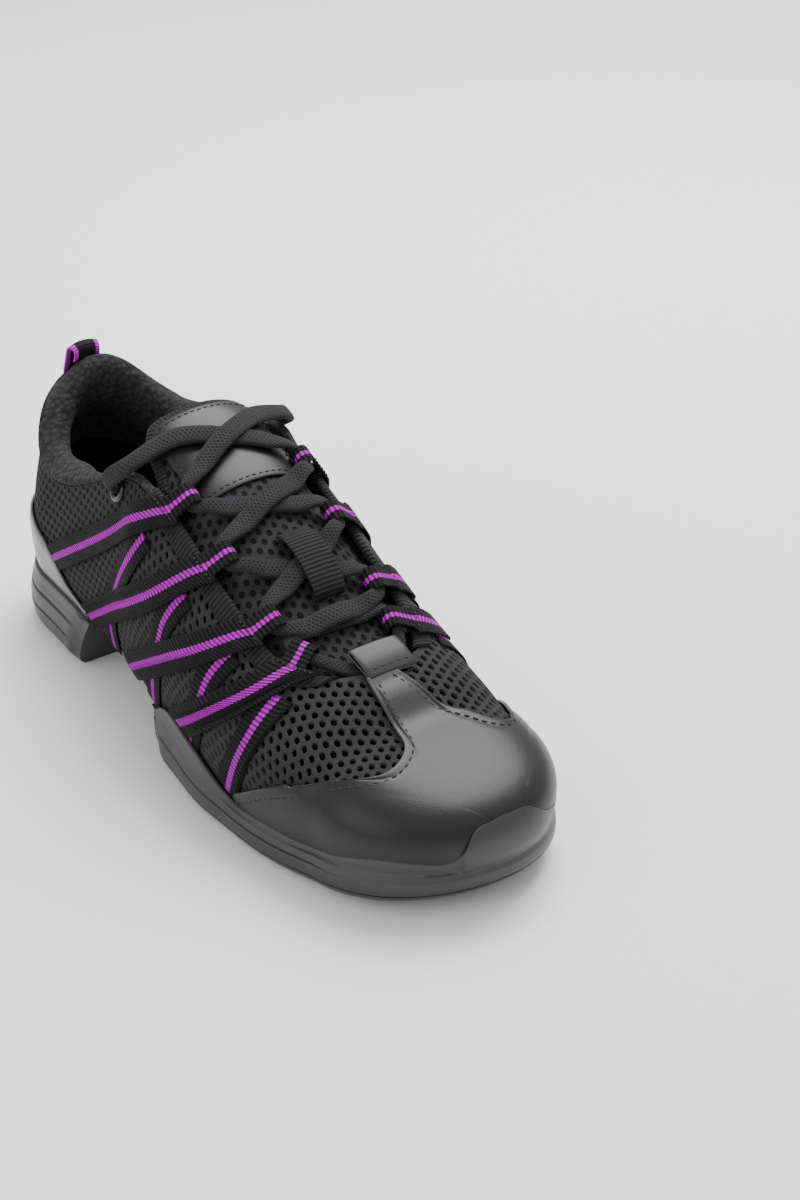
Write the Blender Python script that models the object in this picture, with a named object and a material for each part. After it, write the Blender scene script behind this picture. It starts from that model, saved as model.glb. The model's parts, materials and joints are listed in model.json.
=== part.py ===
"""Dance sneaker, right shoe, built as separate named pieces about one last.

The row frame has +X to the toe, +Y to the inner (medial) side and +Z up, with
the ground at zero.  Every curved piece is read from surf(), the outside of the
upper: g runs round the last from the heel (negative on the outer side) through
zero at the toe, and a is the height along the wall above the featherline.
"""

import math

import bmesh
import bpy
import numpy as np
from mathutils import Vector
from mathutils.geometry import delaunay_2d_cdt

# Named sizes in metres
SOLE_LENGTH = 0.2680
LAST_LENGTH = 0.2565
HEEL_SET = 0.0045
BALL_WIDTH = 0.0880
INSTEP = 0.0900
HEEL_HEIGHT = 0.0240
WALL = 0.0020
COLLAR_PAD = 0.0070
COLLAR_RISE = 0.0040
GAP = 0.00035
TOE_RADIUS = 0.0370
HEEL_RADIUS = 0.0300
TOE_PIVOT = 0.855
HEEL_PIVOT = 0.118
THROAT = 0.768
THROAT_TOP = 0.420
WEBBING = 0.0105
WEBBING_THICK = 0.0008
LACE_WIDTH = 0.0072
LACE_THICK = 0.0030
TONGUE_THICK = 0.0034

BACK = -SOLE_LENGTH / 2 + HEEL_SET
X_TOE = BACK + TOE_PIVOT * LAST_LENGTH
X_HEEL = BACK + HEEL_PIVOT * LAST_LENGTH
Q_TOE = TOE_RADIUS * math.pi / 2
Q_SIDE = Q_TOE + (X_TOE - X_HEEL)
Q_END = Q_SIDE + HEEL_RADIUS * math.pi / 2

# Whole last.  Columns: zone, place (degrees round an end, or share of the last),
# outer and inner half width (share of ball width), featherline height (share of
# heel height), angle of the wall at the featherline, its handle
LAST = [
    ("toe", 0, 0.415, 0.415, 0.72, 64, 0.46),
    ("toe", 30, 0.430, 0.412, 0.71, 66, 0.46),
    ("toe", 60, 0.462, 0.395, 0.67, 68, 0.46),
    ("side", 0.855, 0.492, 0.382, 0.61, 70, 0.46),
    ("side", 0.800, 0.512, 0.405, 0.55, 72, 0.46),
    ("side", 0.745, 0.523, 0.420, 0.53, 73, 0.45),
    ("side", 0.690, 0.523, 0.415, 0.53, 74, 0.44),
    ("side", 0.630, 0.528, 0.390, 0.58, 75, 0.42),
    ("side", 0.550, 0.507, 0.353, 0.72, 76, 0.40),
    ("side", 0.450, 0.476, 0.314, 0.86, 78, 0.40),
    ("side", 0.370, 0.435, 0.322, 0.93, 80, 0.38),
    ("side", 0.300, 0.400, 0.334, 0.95, 80, 0.38),
    ("side", 0.210, 0.375, 0.348, 0.96, 78, 0.38),
    ("side", 0.118, 0.358, 0.348, 0.96, 77, 0.38),
    ("heel", 120, 0.352, 0.345, 0.96, 76, 0.38),
    ("heel", 150, 0.346, 0.342, 0.96, 75, 0.38),
    ("heel", 180, 0.341, 0.341, 0.96, 74, 0.38),
]

# Crest of the forepart.  Columns: zone, place, height (share of instep), handle
CREST = [
    ("side", 0.855, 0.500, 0.62),
    ("side", 0.800, 0.575, 0.60),
    ("side", 0.745, 0.648, 0.58),
    ("side", 0.690, 0.730, 0.56),
    ("side", 0.630, 0.835, 0.54),
    ("side", 0.550, 0.965, 0.52),
    ("side", 0.480, 1.065, 0.50),
    ("side", 0.420, 1.140, 0.50),
    ("side", 0.320, 1.240, 0.50),
]

# Half width of the throat.  Columns: share of the last, outer and inner half
# width (share of ball width)
THROAT_ROWS = [
    (0.768, 0.000, 0.000),
    (0.760, 0.130, 0.115),
    (0.747, 0.215, 0.178),
    (0.727, 0.282, 0.220),
    (0.697, 0.325, 0.250),
    (0.660, 0.342, 0.266),
    (0.600, 0.352, 0.272),
    (0.520, 0.354, 0.282),
    (0.420, 0.345, 0.312),
]

# Collar edge.  Columns: zone, place, half width (share of ball width), height
# outside and inside (share of instep), lean from the horizontal, handle
COLLAR = [
    ("side", 0.370, 0.335, 1.020, 1.040, 66, 0.34),
    ("side", 0.300, 0.332, 0.945, 1.000, 74, 0.34),
    ("side", 0.210, 0.330, 0.835, 0.940, 80, 0.34),
    ("side", 0.118, 0.318, 0.780, 0.890, 82, 0.34),
    ("heel", 110, 0.308, 0.820, 0.905, 82, 0.34),
    ("heel", 140, 0.290, 0.945, 0.980, 78, 0.34),
    ("heel", 180, 0.265, 1.035, 1.035, 74, 0.34),
]

# Line of the last in plan.  Columns: share of the last, share of ball width
CENTRE = [
    (0.00, 0.000),
    (0.25, 0.000),
    (0.45, 0.024),
    (0.52, 0.019),
    (0.62, 0.014),
    (0.72, 0.022),
    (0.80, 0.042),
    (0.855, 0.058),
    (1.00, 0.075),
]


def smooth(xs, ys, at):
    """Catmull-Rom through uneven knots, flat at both ends."""
    xs, ys, at = (np.asarray(k, float) for k in (xs, ys, at))
    step = np.diff(xs)
    slope = np.diff(ys) / step
    m = np.zeros_like(ys)
    m[1:-1] = (slope[:-1] * step[1:] + slope[1:] * step[:-1]) / (step[:-1] + step[1:])
    i = np.clip(np.searchsorted(xs, at, side="right") - 1, 0, len(xs) - 2)
    t = np.clip((at - xs[i]) / step[i], 0.0, 1.0)
    return (
        (2 * t**3 - 3 * t**2 + 1) * ys[i]
        + (t**3 - 2 * t**2 + t) * step[i] * m[i]
        + (3 * t**2 - 2 * t**3) * ys[i + 1]
        + (t**3 - t**2) * step[i] * m[i + 1]
    )


def perimeter(zone, place):
    """Distance round the last from the toe for a table row."""
    if zone == "toe":
        return math.radians(place) * TOE_RADIUS
    if zone == "side":
        return Q_TOE + (TOE_PIVOT - place) * LAST_LENGTH
    return Q_SIDE + math.radians(place - 90) * HEEL_RADIUS


def share_q(share):
    return perimeter("side", share)


Q_THROAT = share_q(THROAT)
Q_JOIN = share_q(THROAT_TOP)
LAST_Q = [perimeter(r[0], r[1]) for r in LAST]
CREST_Q = [perimeter(r[0], r[1]) for r in CREST]
THROAT_Q = [share_q(r[0]) for r in THROAT_ROWS]
COLLAR_Q = [Q_JOIN] + [perimeter(r[0], r[1]) for r in COLLAR]
CREST_SLOPE = (CREST[1][2] - CREST[0][2]) * INSTEP / (CREST_Q[1] - CREST_Q[0])


def last_column(n, q):
    return smooth(LAST_Q, [r[n] for r in LAST], q)


def foot_of(side, q):
    """Half width, height, wall angle and handle at the featherline."""
    outer, inner = last_column(2, q), last_column(3, q)
    return (
        np.where(side < 0, outer, inner) * BALL_WIDTH,
        last_column(4, q) * HEEL_HEIGHT,
        np.radians(last_column(5, q)),
        last_column(6, q),
    )


def unit(angle):
    return np.stack([np.cos(angle), np.sin(angle)], -1)


def closed_profile(side, q):
    """Control points of the half section that runs up to the crest."""
    r, z, low, b0 = foot_of(side, q)
    qc = np.maximum(q, Q_TOE)
    crest = smooth(CREST_Q, [k[2] for k in CREST], qc) * INSTEP
    b1 = smooth(CREST_Q, [k[3] for k in CREST], qc)
    turn = np.clip(q / TOE_RADIUS, 0, math.pi / 2)
    lean = np.where(q < Q_TOE, np.arctan(0.8 * CREST_SLOPE * np.cos(turn)), 0.0)
    size = np.hypot(r, crest - z)
    p0 = np.stack([r, z], -1)
    p3 = np.stack([np.zeros_like(r), crest], -1)
    p1 = p0 + (size * b0)[..., None] * unit(low)
    p2 = p3 + (size * b1)[..., None] * unit(-lean)
    return p0, p1, p2, p3


def bezier(p, t):
    p0, p1, p2, p3 = p
    t = t[..., None]
    u = 1 - t
    return u**3 * p0 + 3 * u * u * t * p1 + 3 * u * t * t * p2 + t**3 * p3


def cut_profile(p, r_cut):
    """Shorten a half section to the place where it is r_cut from the middle."""
    lo, hi = np.full_like(r_cut, 0.45), np.ones_like(r_cut)
    for _ in range(26):
        mid = (lo + hi) / 2
        above = bezier(p, mid)[..., 0] > r_cut
        lo, hi = np.where(above, mid, lo), np.where(above, hi, mid)
    t = np.where(r_cut > 1e-7, (lo + hi) / 2, 1.0)[..., None]
    p0, p1, p2, p3 = p
    a, b, c = p0 + (p1 - p0) * t, p1 + (p2 - p1) * t, p2 + (p3 - p2) * t
    d, e = a + (b - a) * t, b + (c - b) * t
    return p0, a, d, d + (e - d) * t


def throat_half(side, q):
    """Half width of the throat on the outer or inner side."""
    outer, inner = (smooth(THROAT_Q, [r[n] for r in THROAT_ROWS], q) for n in (1, 2))
    return np.where(side < 0, outer, inner) * BALL_WIDTH


def collar_table(side):
    """Rows of the collar edge, led by the section cut at the throat's top."""
    q = np.array([Q_JOIN])
    p0, p1, p2, p3 = cut_profile(closed_profile(np.array([side]), q), throat_half(side, q))
    size = np.linalg.norm(p3 - p0)
    way = (p2 - p3)[0]
    lead = [
        p3[0, 0],
        p3[0, 1],
        math.atan2(-way[1], way[0]),
        float(np.linalg.norm(way) / size),
        float(np.linalg.norm(p1 - p0) / size),
    ]
    rows = [lead]
    for zone, place, half, high_out, high_in, lean, b1 in COLLAR:
        b0 = float(last_column(6, np.array(perimeter(zone, place))))
        high = high_out if side < 0 else high_in
        rows.append([half * BALL_WIDTH, high * INSTEP, math.radians(lean), b1, b0])
    return np.array(rows).T


COLLAR_TABLE = {s: collar_table(s) for s in (-1.0, 1.0)}


def profile(side, q):
    """Half section from the featherline to the crest, throat edge or collar."""
    front = cut_profile(closed_profile(side, np.minimum(q, Q_JOIN)), throat_half(side, q))
    r, z, low, _ = foot_of(side, q)
    col = []
    for n in range(5):
        out, inn = (smooth(COLLAR_Q, COLLAR_TABLE[s][n], q) for s in (-1.0, 1.0))
        col.append(np.where(side < 0, out, inn))
    rt, zt, lean, b1, b0 = col
    size = np.hypot(r - rt, zt - z)
    p0 = np.stack([r, z], -1)
    p3 = np.stack([rt, zt], -1)
    p1 = p0 + (size * b0)[..., None] * unit(low)
    p2 = p3 + (size * b1)[..., None] * unit(-lean)
    behind = (q > Q_JOIN)[..., None]
    return tuple(np.where(behind, k, f) for k, f in zip((p0, p1, p2, p3), front))


def place_of(g):
    """Side, distance from the toe, spine point and outward turn of a station."""
    q = np.clip(np.abs(g), 0, Q_END)
    side = np.where(g < 0, -1.0, 1.0)
    x = np.clip(X_TOE - (q - Q_TOE), X_HEEL, X_TOE)
    share = (x - BACK) / LAST_LENGTH
    y = smooth([r[0] for r in CENTRE], [r[1] for r in CENTRE], share) * BALL_WIDTH
    turn = np.where(
        q < Q_TOE,
        q / TOE_RADIUS,
        np.where(q < Q_SIDE, math.pi / 2, math.pi / 2 + (q - Q_SIDE) / HEEL_RADIUS),
    )
    return side, q, x, y, turn


STEPS = np.linspace(0, 1, 33)


def wall_length(g):
    """Length of the wall from featherline to its top at stations g."""
    side, q, _, _, _ = place_of(np.asarray(g, float))
    p = tuple(k[..., None, :] for k in profile(side, q))
    pts = bezier(p, np.broadcast_to(STEPS, q.shape + STEPS.shape))
    return np.linalg.norm(np.diff(pts, axis=-2), axis=-1).sum(-1)


def raw(g, a):
    side, q, x, y, turn = place_of(g)
    p = profile(side, q)
    wide = tuple(k[..., None, :] for k in p)
    pts = bezier(wide, np.broadcast_to(STEPS, q.shape + STEPS.shape))
    seg = np.linalg.norm(np.diff(pts, axis=-2), axis=-1)
    run = np.concatenate([np.zeros(q.shape + (1,)), np.cumsum(seg, -1)], -1)
    a = np.clip(a, 0, run[..., -1])
    i = np.clip((run <= a[..., None]).sum(-1) - 1, 0, len(STEPS) - 2)
    low = np.take_along_axis(run, i[..., None], -1)[..., 0]
    top = np.take_along_axis(run, i[..., None] + 1, -1)[..., 0]
    t = (i + (a - low) / np.maximum(top - low, 1e-12)) / (len(STEPS) - 1)
    rz = bezier(p, t)
    out = rz[..., 0]
    return np.stack(
        [x + out * np.cos(turn), y + side * out * np.sin(turn), rz[..., 1]], -1
    )


def surf(g, a, lift=0.0):
    """Points on the outside of the upper, lifted along its normal."""
    g, a, lift = np.broadcast_arrays(*(np.asarray(k, float) for k in (g, a, lift)))
    base = raw(g, a)
    if not np.any(lift):
        return base
    e = 0.0012
    full = wall_length(g)
    inner = np.where(np.abs(g) < Q_THROAT, full - 0.0015, full)
    mid = np.minimum(a, inner)
    along = raw(g + e, mid) - raw(g - e, mid)
    up = raw(g, np.minimum(mid + e, full)) - raw(g, np.maximum(mid - e, 0))
    n = np.cross(along, up)
    n /= np.maximum(np.linalg.norm(n, axis=-1, keepdims=True), 1e-12)
    side, _, _, _, turn = place_of(g)
    out = np.stack([np.cos(turn), side * np.sin(turn), np.full_like(turn, 0.3)], -1)
    sign = np.where((n * out).sum(-1, keepdims=True) < 0, -1.0, 1.0)
    return base + n * sign * lift[..., None]


# Blender helpers


def clear_scene():
    for obj in list(bpy.data.objects):
        bpy.data.objects.remove(obj)


def material(name, colour, rough):
    mat = bpy.data.materials.new(name)
    mat.use_nodes = True
    shader = mat.node_tree.nodes["Principled BSDF"]
    shader.inputs["Base Color"].default_value = (*colour, 1.0)
    shader.inputs["Roughness"].default_value = rough
    return mat


def solid(name, verts, faces, colour, rough, flat_bottom=False):
    """One closed body from points and faces, with outward faces."""
    bm = bmesh.new()
    made = [bm.verts.new(tuple(float(c) for c in v)) for v in verts]
    for face in faces:
        ring = [k for i, k in enumerate(face) if k != face[i - 1]]
        if len(set(ring)) > 2:
            bm.faces.new([made[k] for k in ring])
    loose = [v for v in bm.verts if not v.link_faces]
    bmesh.ops.delete(bm, geom=loose, context="VERTS")
    bmesh.ops.remove_doubles(bm, verts=bm.verts, dist=0.00001)
    bmesh.ops.recalc_face_normals(bm, faces=bm.faces)
    if bm.calc_volume(signed=True) < 0:
        bmesh.ops.reverse_faces(bm, faces=bm.faces)
    bmesh.ops.triangulate(bm, faces=bm.faces, quad_method="SHORT_EDGE")
    if flat_bottom:
        low = [f for f in bm.faces if max(v.co.z for v in f.verts) < 1e-6]
        edges = [e for e in {e for f in low for e in f.edges}
                 if all(f in low for f in e.link_faces)]
        bmesh.ops.dissolve_edges(bm, edges=edges, use_verts=False)
    mesh = bpy.data.meshes.new(name)
    bm.to_mesh(mesh)
    bm.free()
    mesh.shade_smooth()
    mesh.set_sharp_from_angle(angle=math.radians(40))
    obj = bpy.data.objects.new(name, mesh)
    bpy.context.scene.collection.objects.link(obj)
    mesh.materials.append(material(name, colour, rough))
    return obj


def weld(points):
    """Index of every point with coincident points given one number."""
    seen, index, keep = {}, [], []
    for p in points:
        key = tuple(np.round(p, 6))
        if key not in seen:
            seen[key] = len(keep)
            keep.append(p)
        index.append(seen[key])
    return np.array(keep), index


def tidy_faces(faces):
    done = []
    for face in faces:
        ring = [k for i, k in enumerate(face) if k != face[i - 1]]
        if len(set(ring)) > 2:
            done.append(ring)
    return done


def open_edges(faces):
    count = {}
    for face in faces:
        for i, k in enumerate(face):
            edge = (face[i - 1], k)
            count[edge] = count.get(edge, 0) + 1
    return [e for e in count if (e[1], e[0]) not in count]


def close_sheet(outer, inner, faces, rims=None):
    """Join an outer and inner copy of a sheet along its open edges."""
    n = len(outer)
    points = [*outer, *inner]
    body = [list(f) for f in faces] + [[k + n for k in reversed(f)] for f in faces]
    chains = {}
    for a, b in open_edges(faces):
        for k in (a, b):
            if k not in chains:
                chain = [k]
                for p in (rims or {}).get(k, []):
                    chain.append(len(points))
                    points.append(p)
                chains[k] = [*chain, k + n]
        for i in range(len(chains[a]) - 1):
            body.append([chains[b][i], chains[a][i], chains[a][i + 1], chains[b][i + 1]])
    return points, body


def vertex_normals(points, faces):
    total = np.zeros_like(points)
    for face in faces:
        p = points[face]
        n = np.zeros(3)
        for i in range(len(face)):
            n += np.cross(p[i - 1], p[i])
        total[face] += n
    return total / np.maximum(np.linalg.norm(total, axis=1, keepdims=True), 1e-12)


def sweep(rings, closed_ends=True):
    """Points and faces of a body that runs through equal rings."""
    n = len(rings[0])
    points = [p for ring in rings for p in ring]
    faces = []
    for i in range(len(rings) - 1):
        for k in range(n):
            m = (k + 1) % n
            faces.append([i * n + k, i * n + m, (i + 1) * n + m, (i + 1) * n + k])
    if closed_ends:
        faces.append(list(range(n))[::-1])
        faces.append([(len(rings) - 1) * n + k for k in range(n)])
    return points, faces


def step01(x, lo, hi):
    t = np.clip((x - lo) / (hi - lo), 0, 1)
    return t * t * (3 - 2 * t)


# Sole, board and insole

GROUND_FLAT = (0.515, 0.760)
TOE_SPRING = 0.0085
HEEL_FRONT = 0.262
FORE_REAR = 0.475
BUMPER_STEP = 23.5

# Top rim of the forepart unit above the featherline, in millimetres.  Columns:
# side, zone, place, rise
FORE_RIM = [
    (-1, "side", 0.475, 0.3),
    (-1, "side", 0.494, 3.4),
    (-1, "side", 0.520, 6.7),
    (-1, "side", 0.551, 10.2),
    (-1, "side", 0.592, 11.0),
    (-1, "side", 0.626, 9.8),
    (-1, "side", 0.653, 6.0),
    (-1, "side", 0.679, 2.0),
    (-1, "side", 0.760, 2.0),
    (-1, "toe", 82, 3.0),
    (-1, "toe", 68, 5.6),
    (-1, "toe", 56, 6.4),
    (-1, "toe", 43, 5.6),
    (-1, "toe", 30, 4.8),
    (-1, "toe", 27, 5.6),
    (-1, "toe", 20, 12.4),
    (-1, "toe", 10, 14.2),
    (1, "toe", 3, 14.6),
    (1, "toe", 11, 14.0),
    (1, "toe", 20, 10.4),
    (1, "toe", 34, 7.4),
    (1, "toe", 60, 4.6),
    (1, "side", 0.760, 2.4),
    (1, "side", 0.679, 3.0),
    (1, "side", 0.653, 6.0),
    (1, "side", 0.610, 9.0),
    (1, "side", 0.551, 9.0),
    (1, "side", 0.505, 4.5),
    (1, "side", 0.475, 0.3),
]

# Side of the forepart unit, rim to ground.  Columns: share of the sole's height,
# distance outside the featherline in millimetres
FORE_SIDE = [
    (0.92, 3.6),
    (0.72, 4.3),
    (0.66, 3.3),
    (0.60, 4.4),
    (0.33, 4.3),
    (0.28, 3.2),
    (0.08, 2.6),
    (0.00, 0.8),
]

# Side of the heel unit, rim to ground, columns as above
HEEL_SIDE = [
    (0.96, 3.4),
    (0.80, 4.4),
    (0.76, 3.5),
    (0.71, 4.8),
    (0.52, 5.4),
    (0.47, 4.5),
    (0.42, 5.5),
    (0.16, 4.2),
    (0.06, 2.4),
    (0.00, -0.4),
]


def ground(x):
    """Height of the underside: flat between the rockers, sprung at the toe."""
    share = (x - BACK) / LAST_LENGTH
    toe = np.clip((share - GROUND_FLAT[1]) / (1.03 - GROUND_FLAT[1]), 0, None)
    arch = np.clip((GROUND_FLAT[0] - share) / (GROUND_FLAT[0] - FORE_REAR), 0, 1)
    return TOE_SPRING * toe**1.5 + np.where(share > 0.4, 0.0035 * arch**1.5, 0.0)


def outline(g, off, z=None, share=None):
    """A point beside the featherline, at a height or a share of the sole's height."""
    side, q, x, y, turn = place_of(g)
    r, zb, _, _ = foot_of(side, q)
    r = r + off
    px = x + r * np.cos(turn)
    if z is None:
        low = ground(px)
        z = low + share * (zb - low)
    return np.stack([px, y + side * r * np.sin(turn), z + 0 * px], -1)


def feather(g):
    side, q, _, _, _ = place_of(g)
    return foot_of(side, q)[1]


def paired_body(g, rows, across=3):
    """Close rows of points round the last with ladders from side to side.

    g runs from one end to the other, mirrored about zero, and the first and last
    rows are the top and the underside."""
    n = len(g)
    points = [p for row in rows for p in row]
    faces = []
    for k in range(len(rows) - 1):
        for i in range(n - 1):
            faces.append([k * n + i, k * n + i + 1, (k + 1) * n + i + 1, (k + 1) * n + i])
    rungs = {}
    for k in (0, len(rows) - 1):
        for i in range(n // 2 + 1):
            a, b = k * n + i, k * n + n - 1 - i
            ids = [a]
            if a != b:
                for t in np.linspace(0, 1, across + 1)[1:-1]:
                    ids.append(len(points))
                    points.append(points[a] * (1 - t) + points[b] * t)
                ids.append(b)
            rungs[k, i] = ids
        for i in range(n // 2):
            p, q = rungs[k, i], rungs[k, i + 1]
            if len(q) == 1:
                q = q * len(p)
            if len(p) == 1:
                p = p * len(q)
            for j in range(len(p) - 1):
                faces.append([p[j], p[j + 1], q[j + 1], q[j]])
    last = len(rows) - 1
    top, low = rungs[0, 0], rungs[last, 0]
    left = [k * n for k in range(len(rows))]
    right = [k * n + n - 1 for k in range(len(rows))]
    if np.linalg.norm(points[0] - points[n - 1]) > 1e-6:
        faces.append([*left, *low[1:-1], *right[::-1], *top[1:-1][::-1]])
    return points, faces


def ring_stations(q_from, q_to, ends, middle):
    """Stations of one side between two distances, closer round the ends."""
    knots = [k for k in (q_from, Q_TOE, Q_SIDE, q_to) if q_from <= k <= q_to]
    knots = sorted(set(knots))
    out = [knots[0]]
    for a, b in zip(knots, knots[1:]):
        round_end = b <= Q_TOE + 1e-9 or a >= Q_SIDE - 1e-9
        n = ends if round_end else max(2, round(middle * (b - a) / (Q_SIDE - Q_TOE)))
        out += list(np.linspace(a, b, n + 1)[1:])
    return np.array(out)


def rim_rise(g):
    order = []
    for side, zone, place, rise in FORE_RIM:
        order.append((side * perimeter(zone, place), rise))
    order.sort()
    return smooth([k[0] for k in order], [k[1] for k in order], g) / 1000


CUP_GAP = 0.00080


def cup_rows(g, rise, fade, rim):
    """Rows from a cup's floor up its inside and over the rim, fading at the ends."""
    floor = feather(g) - GAP
    f = step01(fade, 0.0, 0.35)[:, None]
    rows = [outline(g, -0.0006, z=floor), outline(g, 0.0003, z=floor)]
    for part in (0.35, 0.7, 1.0):
        flat = outline(g, 0.0004 + 0.0003 * part, z=floor)
        a = np.maximum(rise * fade * part, 0.00001)
        rows.append(flat * (1 - f) + surf(g, a, CUP_GAP) * f)
    for part, swell, off in ((1.0, 0.0, 0.0018), (0.45, 0.0004, 0.0023)):
        flat = outline(g, off, z=floor)
        a = np.maximum(rise * fade * part, 0.00001)
        rows.append(flat * (1 - f) + surf(g, a, CUP_GAP + rim + swell) * f)
    return rows


def make_forepart():
    q = ring_stations(0.0, share_q(FORE_REAR), 10, 24)
    q = np.sort(np.append(q, [perimeter("toe", BUMPER_STEP), perimeter("toe", 15)]))
    g = np.concatenate([-q[::-1], q[1:]])
    rise = rim_rise(g)
    fade = step01(share_q(FORE_REAR) - np.abs(g), 0.0, 0.012)
    rows = cup_rows(g, rise, fade, 0.0016)
    for share, off in FORE_SIDE:
        rows.append(outline(g, off / 1000, share=share))
    points, faces = paired_body(g, rows)
    return solid("forepart_unit", points, faces, (0.030, 0.030, 0.031), 0.5, True)


def make_heel():
    q = ring_stations(share_q(HEEL_FRONT), Q_END, 7, 20)
    g = np.concatenate([q, -q[-2::-1]])
    fade = step01(np.abs(g) - share_q(HEEL_FRONT), 0.0, 0.012)
    rows = cup_rows(g, 0.0014 + 0 * g, fade, 0.0020)
    for share, off in HEEL_SIDE:
        wide = 0.6 + 0.4 * fade
        rows.append(outline(g, off / 1000 * wide, share=share))
    front = np.abs(g) - share_q(HEEL_FRONT)
    for row in rows:
        lean = 1 - step01(front, 0.0, 0.022)
        row[:, 0] -= lean * 0.45 * (HEEL_HEIGHT - row[:, 2])
    points, faces = paired_body(g, rows)
    return solid("heel_unit", points, faces, (0.032, 0.032, 0.033), 0.5, True)


def full_ring(ends, middle):
    q = ring_stations(0.0, Q_END, ends, middle)
    return np.concatenate([-q[::-1], q[1:]])


def make_slab(name, inset, low, high, colour, rough):
    g = full_ring(6, 12)
    z = feather(g)
    top = outline(g, -inset, z=z + high)
    bottom = outline(g, -inset, z=z + low)
    points, faces = paired_body(g, [top, bottom], across=3)
    return solid(name, points, faces, colour, rough)


# Upper and tongue


def pad_share(g):
    """How much of the collar padding a station carries."""
    return step01(np.abs(g), share_q(0.315), share_q(0.240))


def even_length(g):
    """A wall length that changes gently round the throat, for even rows."""
    q = np.abs(g)
    side = np.where(g < 0, -1.0, 1.0)
    p = tuple(k[..., None, :] for k in closed_profile(side, np.minimum(q, Q_JOIN)))
    pts = bezier(p, np.broadcast_to(STEPS, q.shape + STEPS.shape))
    closed = np.linalg.norm(np.diff(pts, axis=-2), axis=-1).sum(-1)
    full = wall_length(g)
    held = np.minimum(closed, full * 1.42)
    return held + (full - held) * step01(q, share_q(0.66), share_q(0.46))


RIM_STEPS = (0.22, 0.78)


def make_upper():
    q = ring_stations(0.0, Q_END, 8, 24)
    near = np.array([Q_THROAT, share_q(0.7645), share_q(0.757)])
    q = np.sort(np.concatenate([q, near]))
    g = np.concatenate([-q[::-1], q[1:-1]])
    v = np.array([0, 0.07, 0.18, 0.32, 0.47, 0.62, 0.76, 0.88, 1.0])
    full = wall_length(g)
    even = even_length(g)[:, None]
    grid = surf(g[:, None] + 0 * v, even * v + (full[:, None] - even) * v**3)
    tops = surf(g, full) - surf(g, full - 0.001)
    tops /= np.maximum(np.linalg.norm(tops, axis=1, keepdims=True), 1e-9)
    n, m = len(g), len(v)
    points, index = weld(grid.reshape(-1, 3))
    faces = []
    for i in range(n):
        k = (i + 1) % n
        for j in range(m - 1):
            faces.append([index[i * m + j], index[k * m + j],
                          index[k * m + j + 1], index[i * m + j + 1]])
    faces = tidy_faces(faces)
    normal = vertex_normals(points, faces)
    side, _, _, _, turn = place_of(g[0:1])
    if normal[index[m * (n // 2) + 2]][0] < 0:
        normal = -normal
    thick = np.full(len(points), WALL)
    rims = {}
    for i in range(n):
        pad = float(pad_share(g[i]))
        for j in range(m):
            from_top = full[i] * (1 - v[j])
            t = WALL + (COLLAR_PAD - WALL) * pad * (1 - step01(from_top, 0.006, 0.030))
            thick[index[i * m + j]] = t
        k = index[i * m + m - 1]
        if abs(g[i]) > Q_THROAT + 1e-9:
            rims[k] = (tops[i], COLLAR_RISE * pad)
    inner = points - normal * thick[:, None]
    chains = {}
    for k, (up, rise) in rims.items():
        chains[k] = [
            points[k] * (1 - s) + inner[k] * s + up * rise * math.sin(math.pi * s) ** 0.6
            for s in RIM_STEPS
        ]
    edges = open_edges(faces)
    # the whole top edge gets the same number of points from outside to inside
    for k in {k for e in edges for k in e}:
        if k not in chains and points[k][2] > 0.04:
            chains[k] = [points[k] * (1 - s) + inner[k] * s for s in RIM_STEPS]
    body, walls = close_sheet(points, inner, faces, chains)
    return solid("upper", body, walls, (0.026, 0.026, 0.027), 0.85)


# Tongue.  Columns: share of the last, outer and inner half width (share of ball
# width)
TONGUE = [
    (0.790, 0.150, 0.135),
    (0.765, 0.240, 0.205),
    (0.730, 0.340, 0.268),
    (0.680, 0.390, 0.305),
    (0.610, 0.405, 0.322),
    (0.520, 0.410, 0.328),
    (0.440, 0.385, 0.330),
    (0.385, 0.320, 0.300),
    (0.350, 0.290, 0.280),
    (0.330, 0.235, 0.235),
]
TONGUE_DROP = 0.0050


def tongue_point(q, across, drop):
    """A point on the tongue: across is the signed distance from its middle."""
    q, across, drop = np.broadcast_arrays(q, across, drop)
    side = np.where(across < 0, -1.0, 1.0)
    p = closed_profile(side, q)
    r = np.abs(across)
    lo, hi = np.full(r.shape, 0.3), np.ones(r.shape)
    for _ in range(26):
        mid = (lo + hi) / 2
        above = bezier(p, mid)[..., 0] > r
        lo, hi = np.where(above, mid, lo), np.where(above, hi, mid)
    t = (lo + hi) / 2
    here = bezier(p, t)
    way = bezier(p, np.maximum(t - 0.02, 0)) - bezier(p, np.minimum(t + 0.002, 1))
    way = way / np.maximum(np.linalg.norm(way, axis=-1, keepdims=True), 1e-9)
    norm = np.stack([-way[..., 1], way[..., 0]], -1)
    here = here - norm * drop[..., None]
    _, _, x, y, _ = place_of(np.maximum(q, Q_TOE))
    return np.stack([x, y + side * here[..., 0], here[..., 1]], -1)


def tongue_half(share, side):
    """Half width of the tongue on the outer or inner side."""
    knots = [-r[0] for r in TONGUE]
    outer, inner = (smooth(knots, [r[n] for r in TONGUE], -share) for n in (1, 2))
    return np.where(side < 0, outer, inner) * BALL_WIDTH


def tongue_drop(shares):
    """Distance below the line of the last: sewn to the vamp, then lower."""
    sewn = step01(np.asarray(shares, float), 0.752, 0.780)
    return TONGUE_DROP + (WALL + 0.0005 - TONGUE_DROP) * sewn


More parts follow.
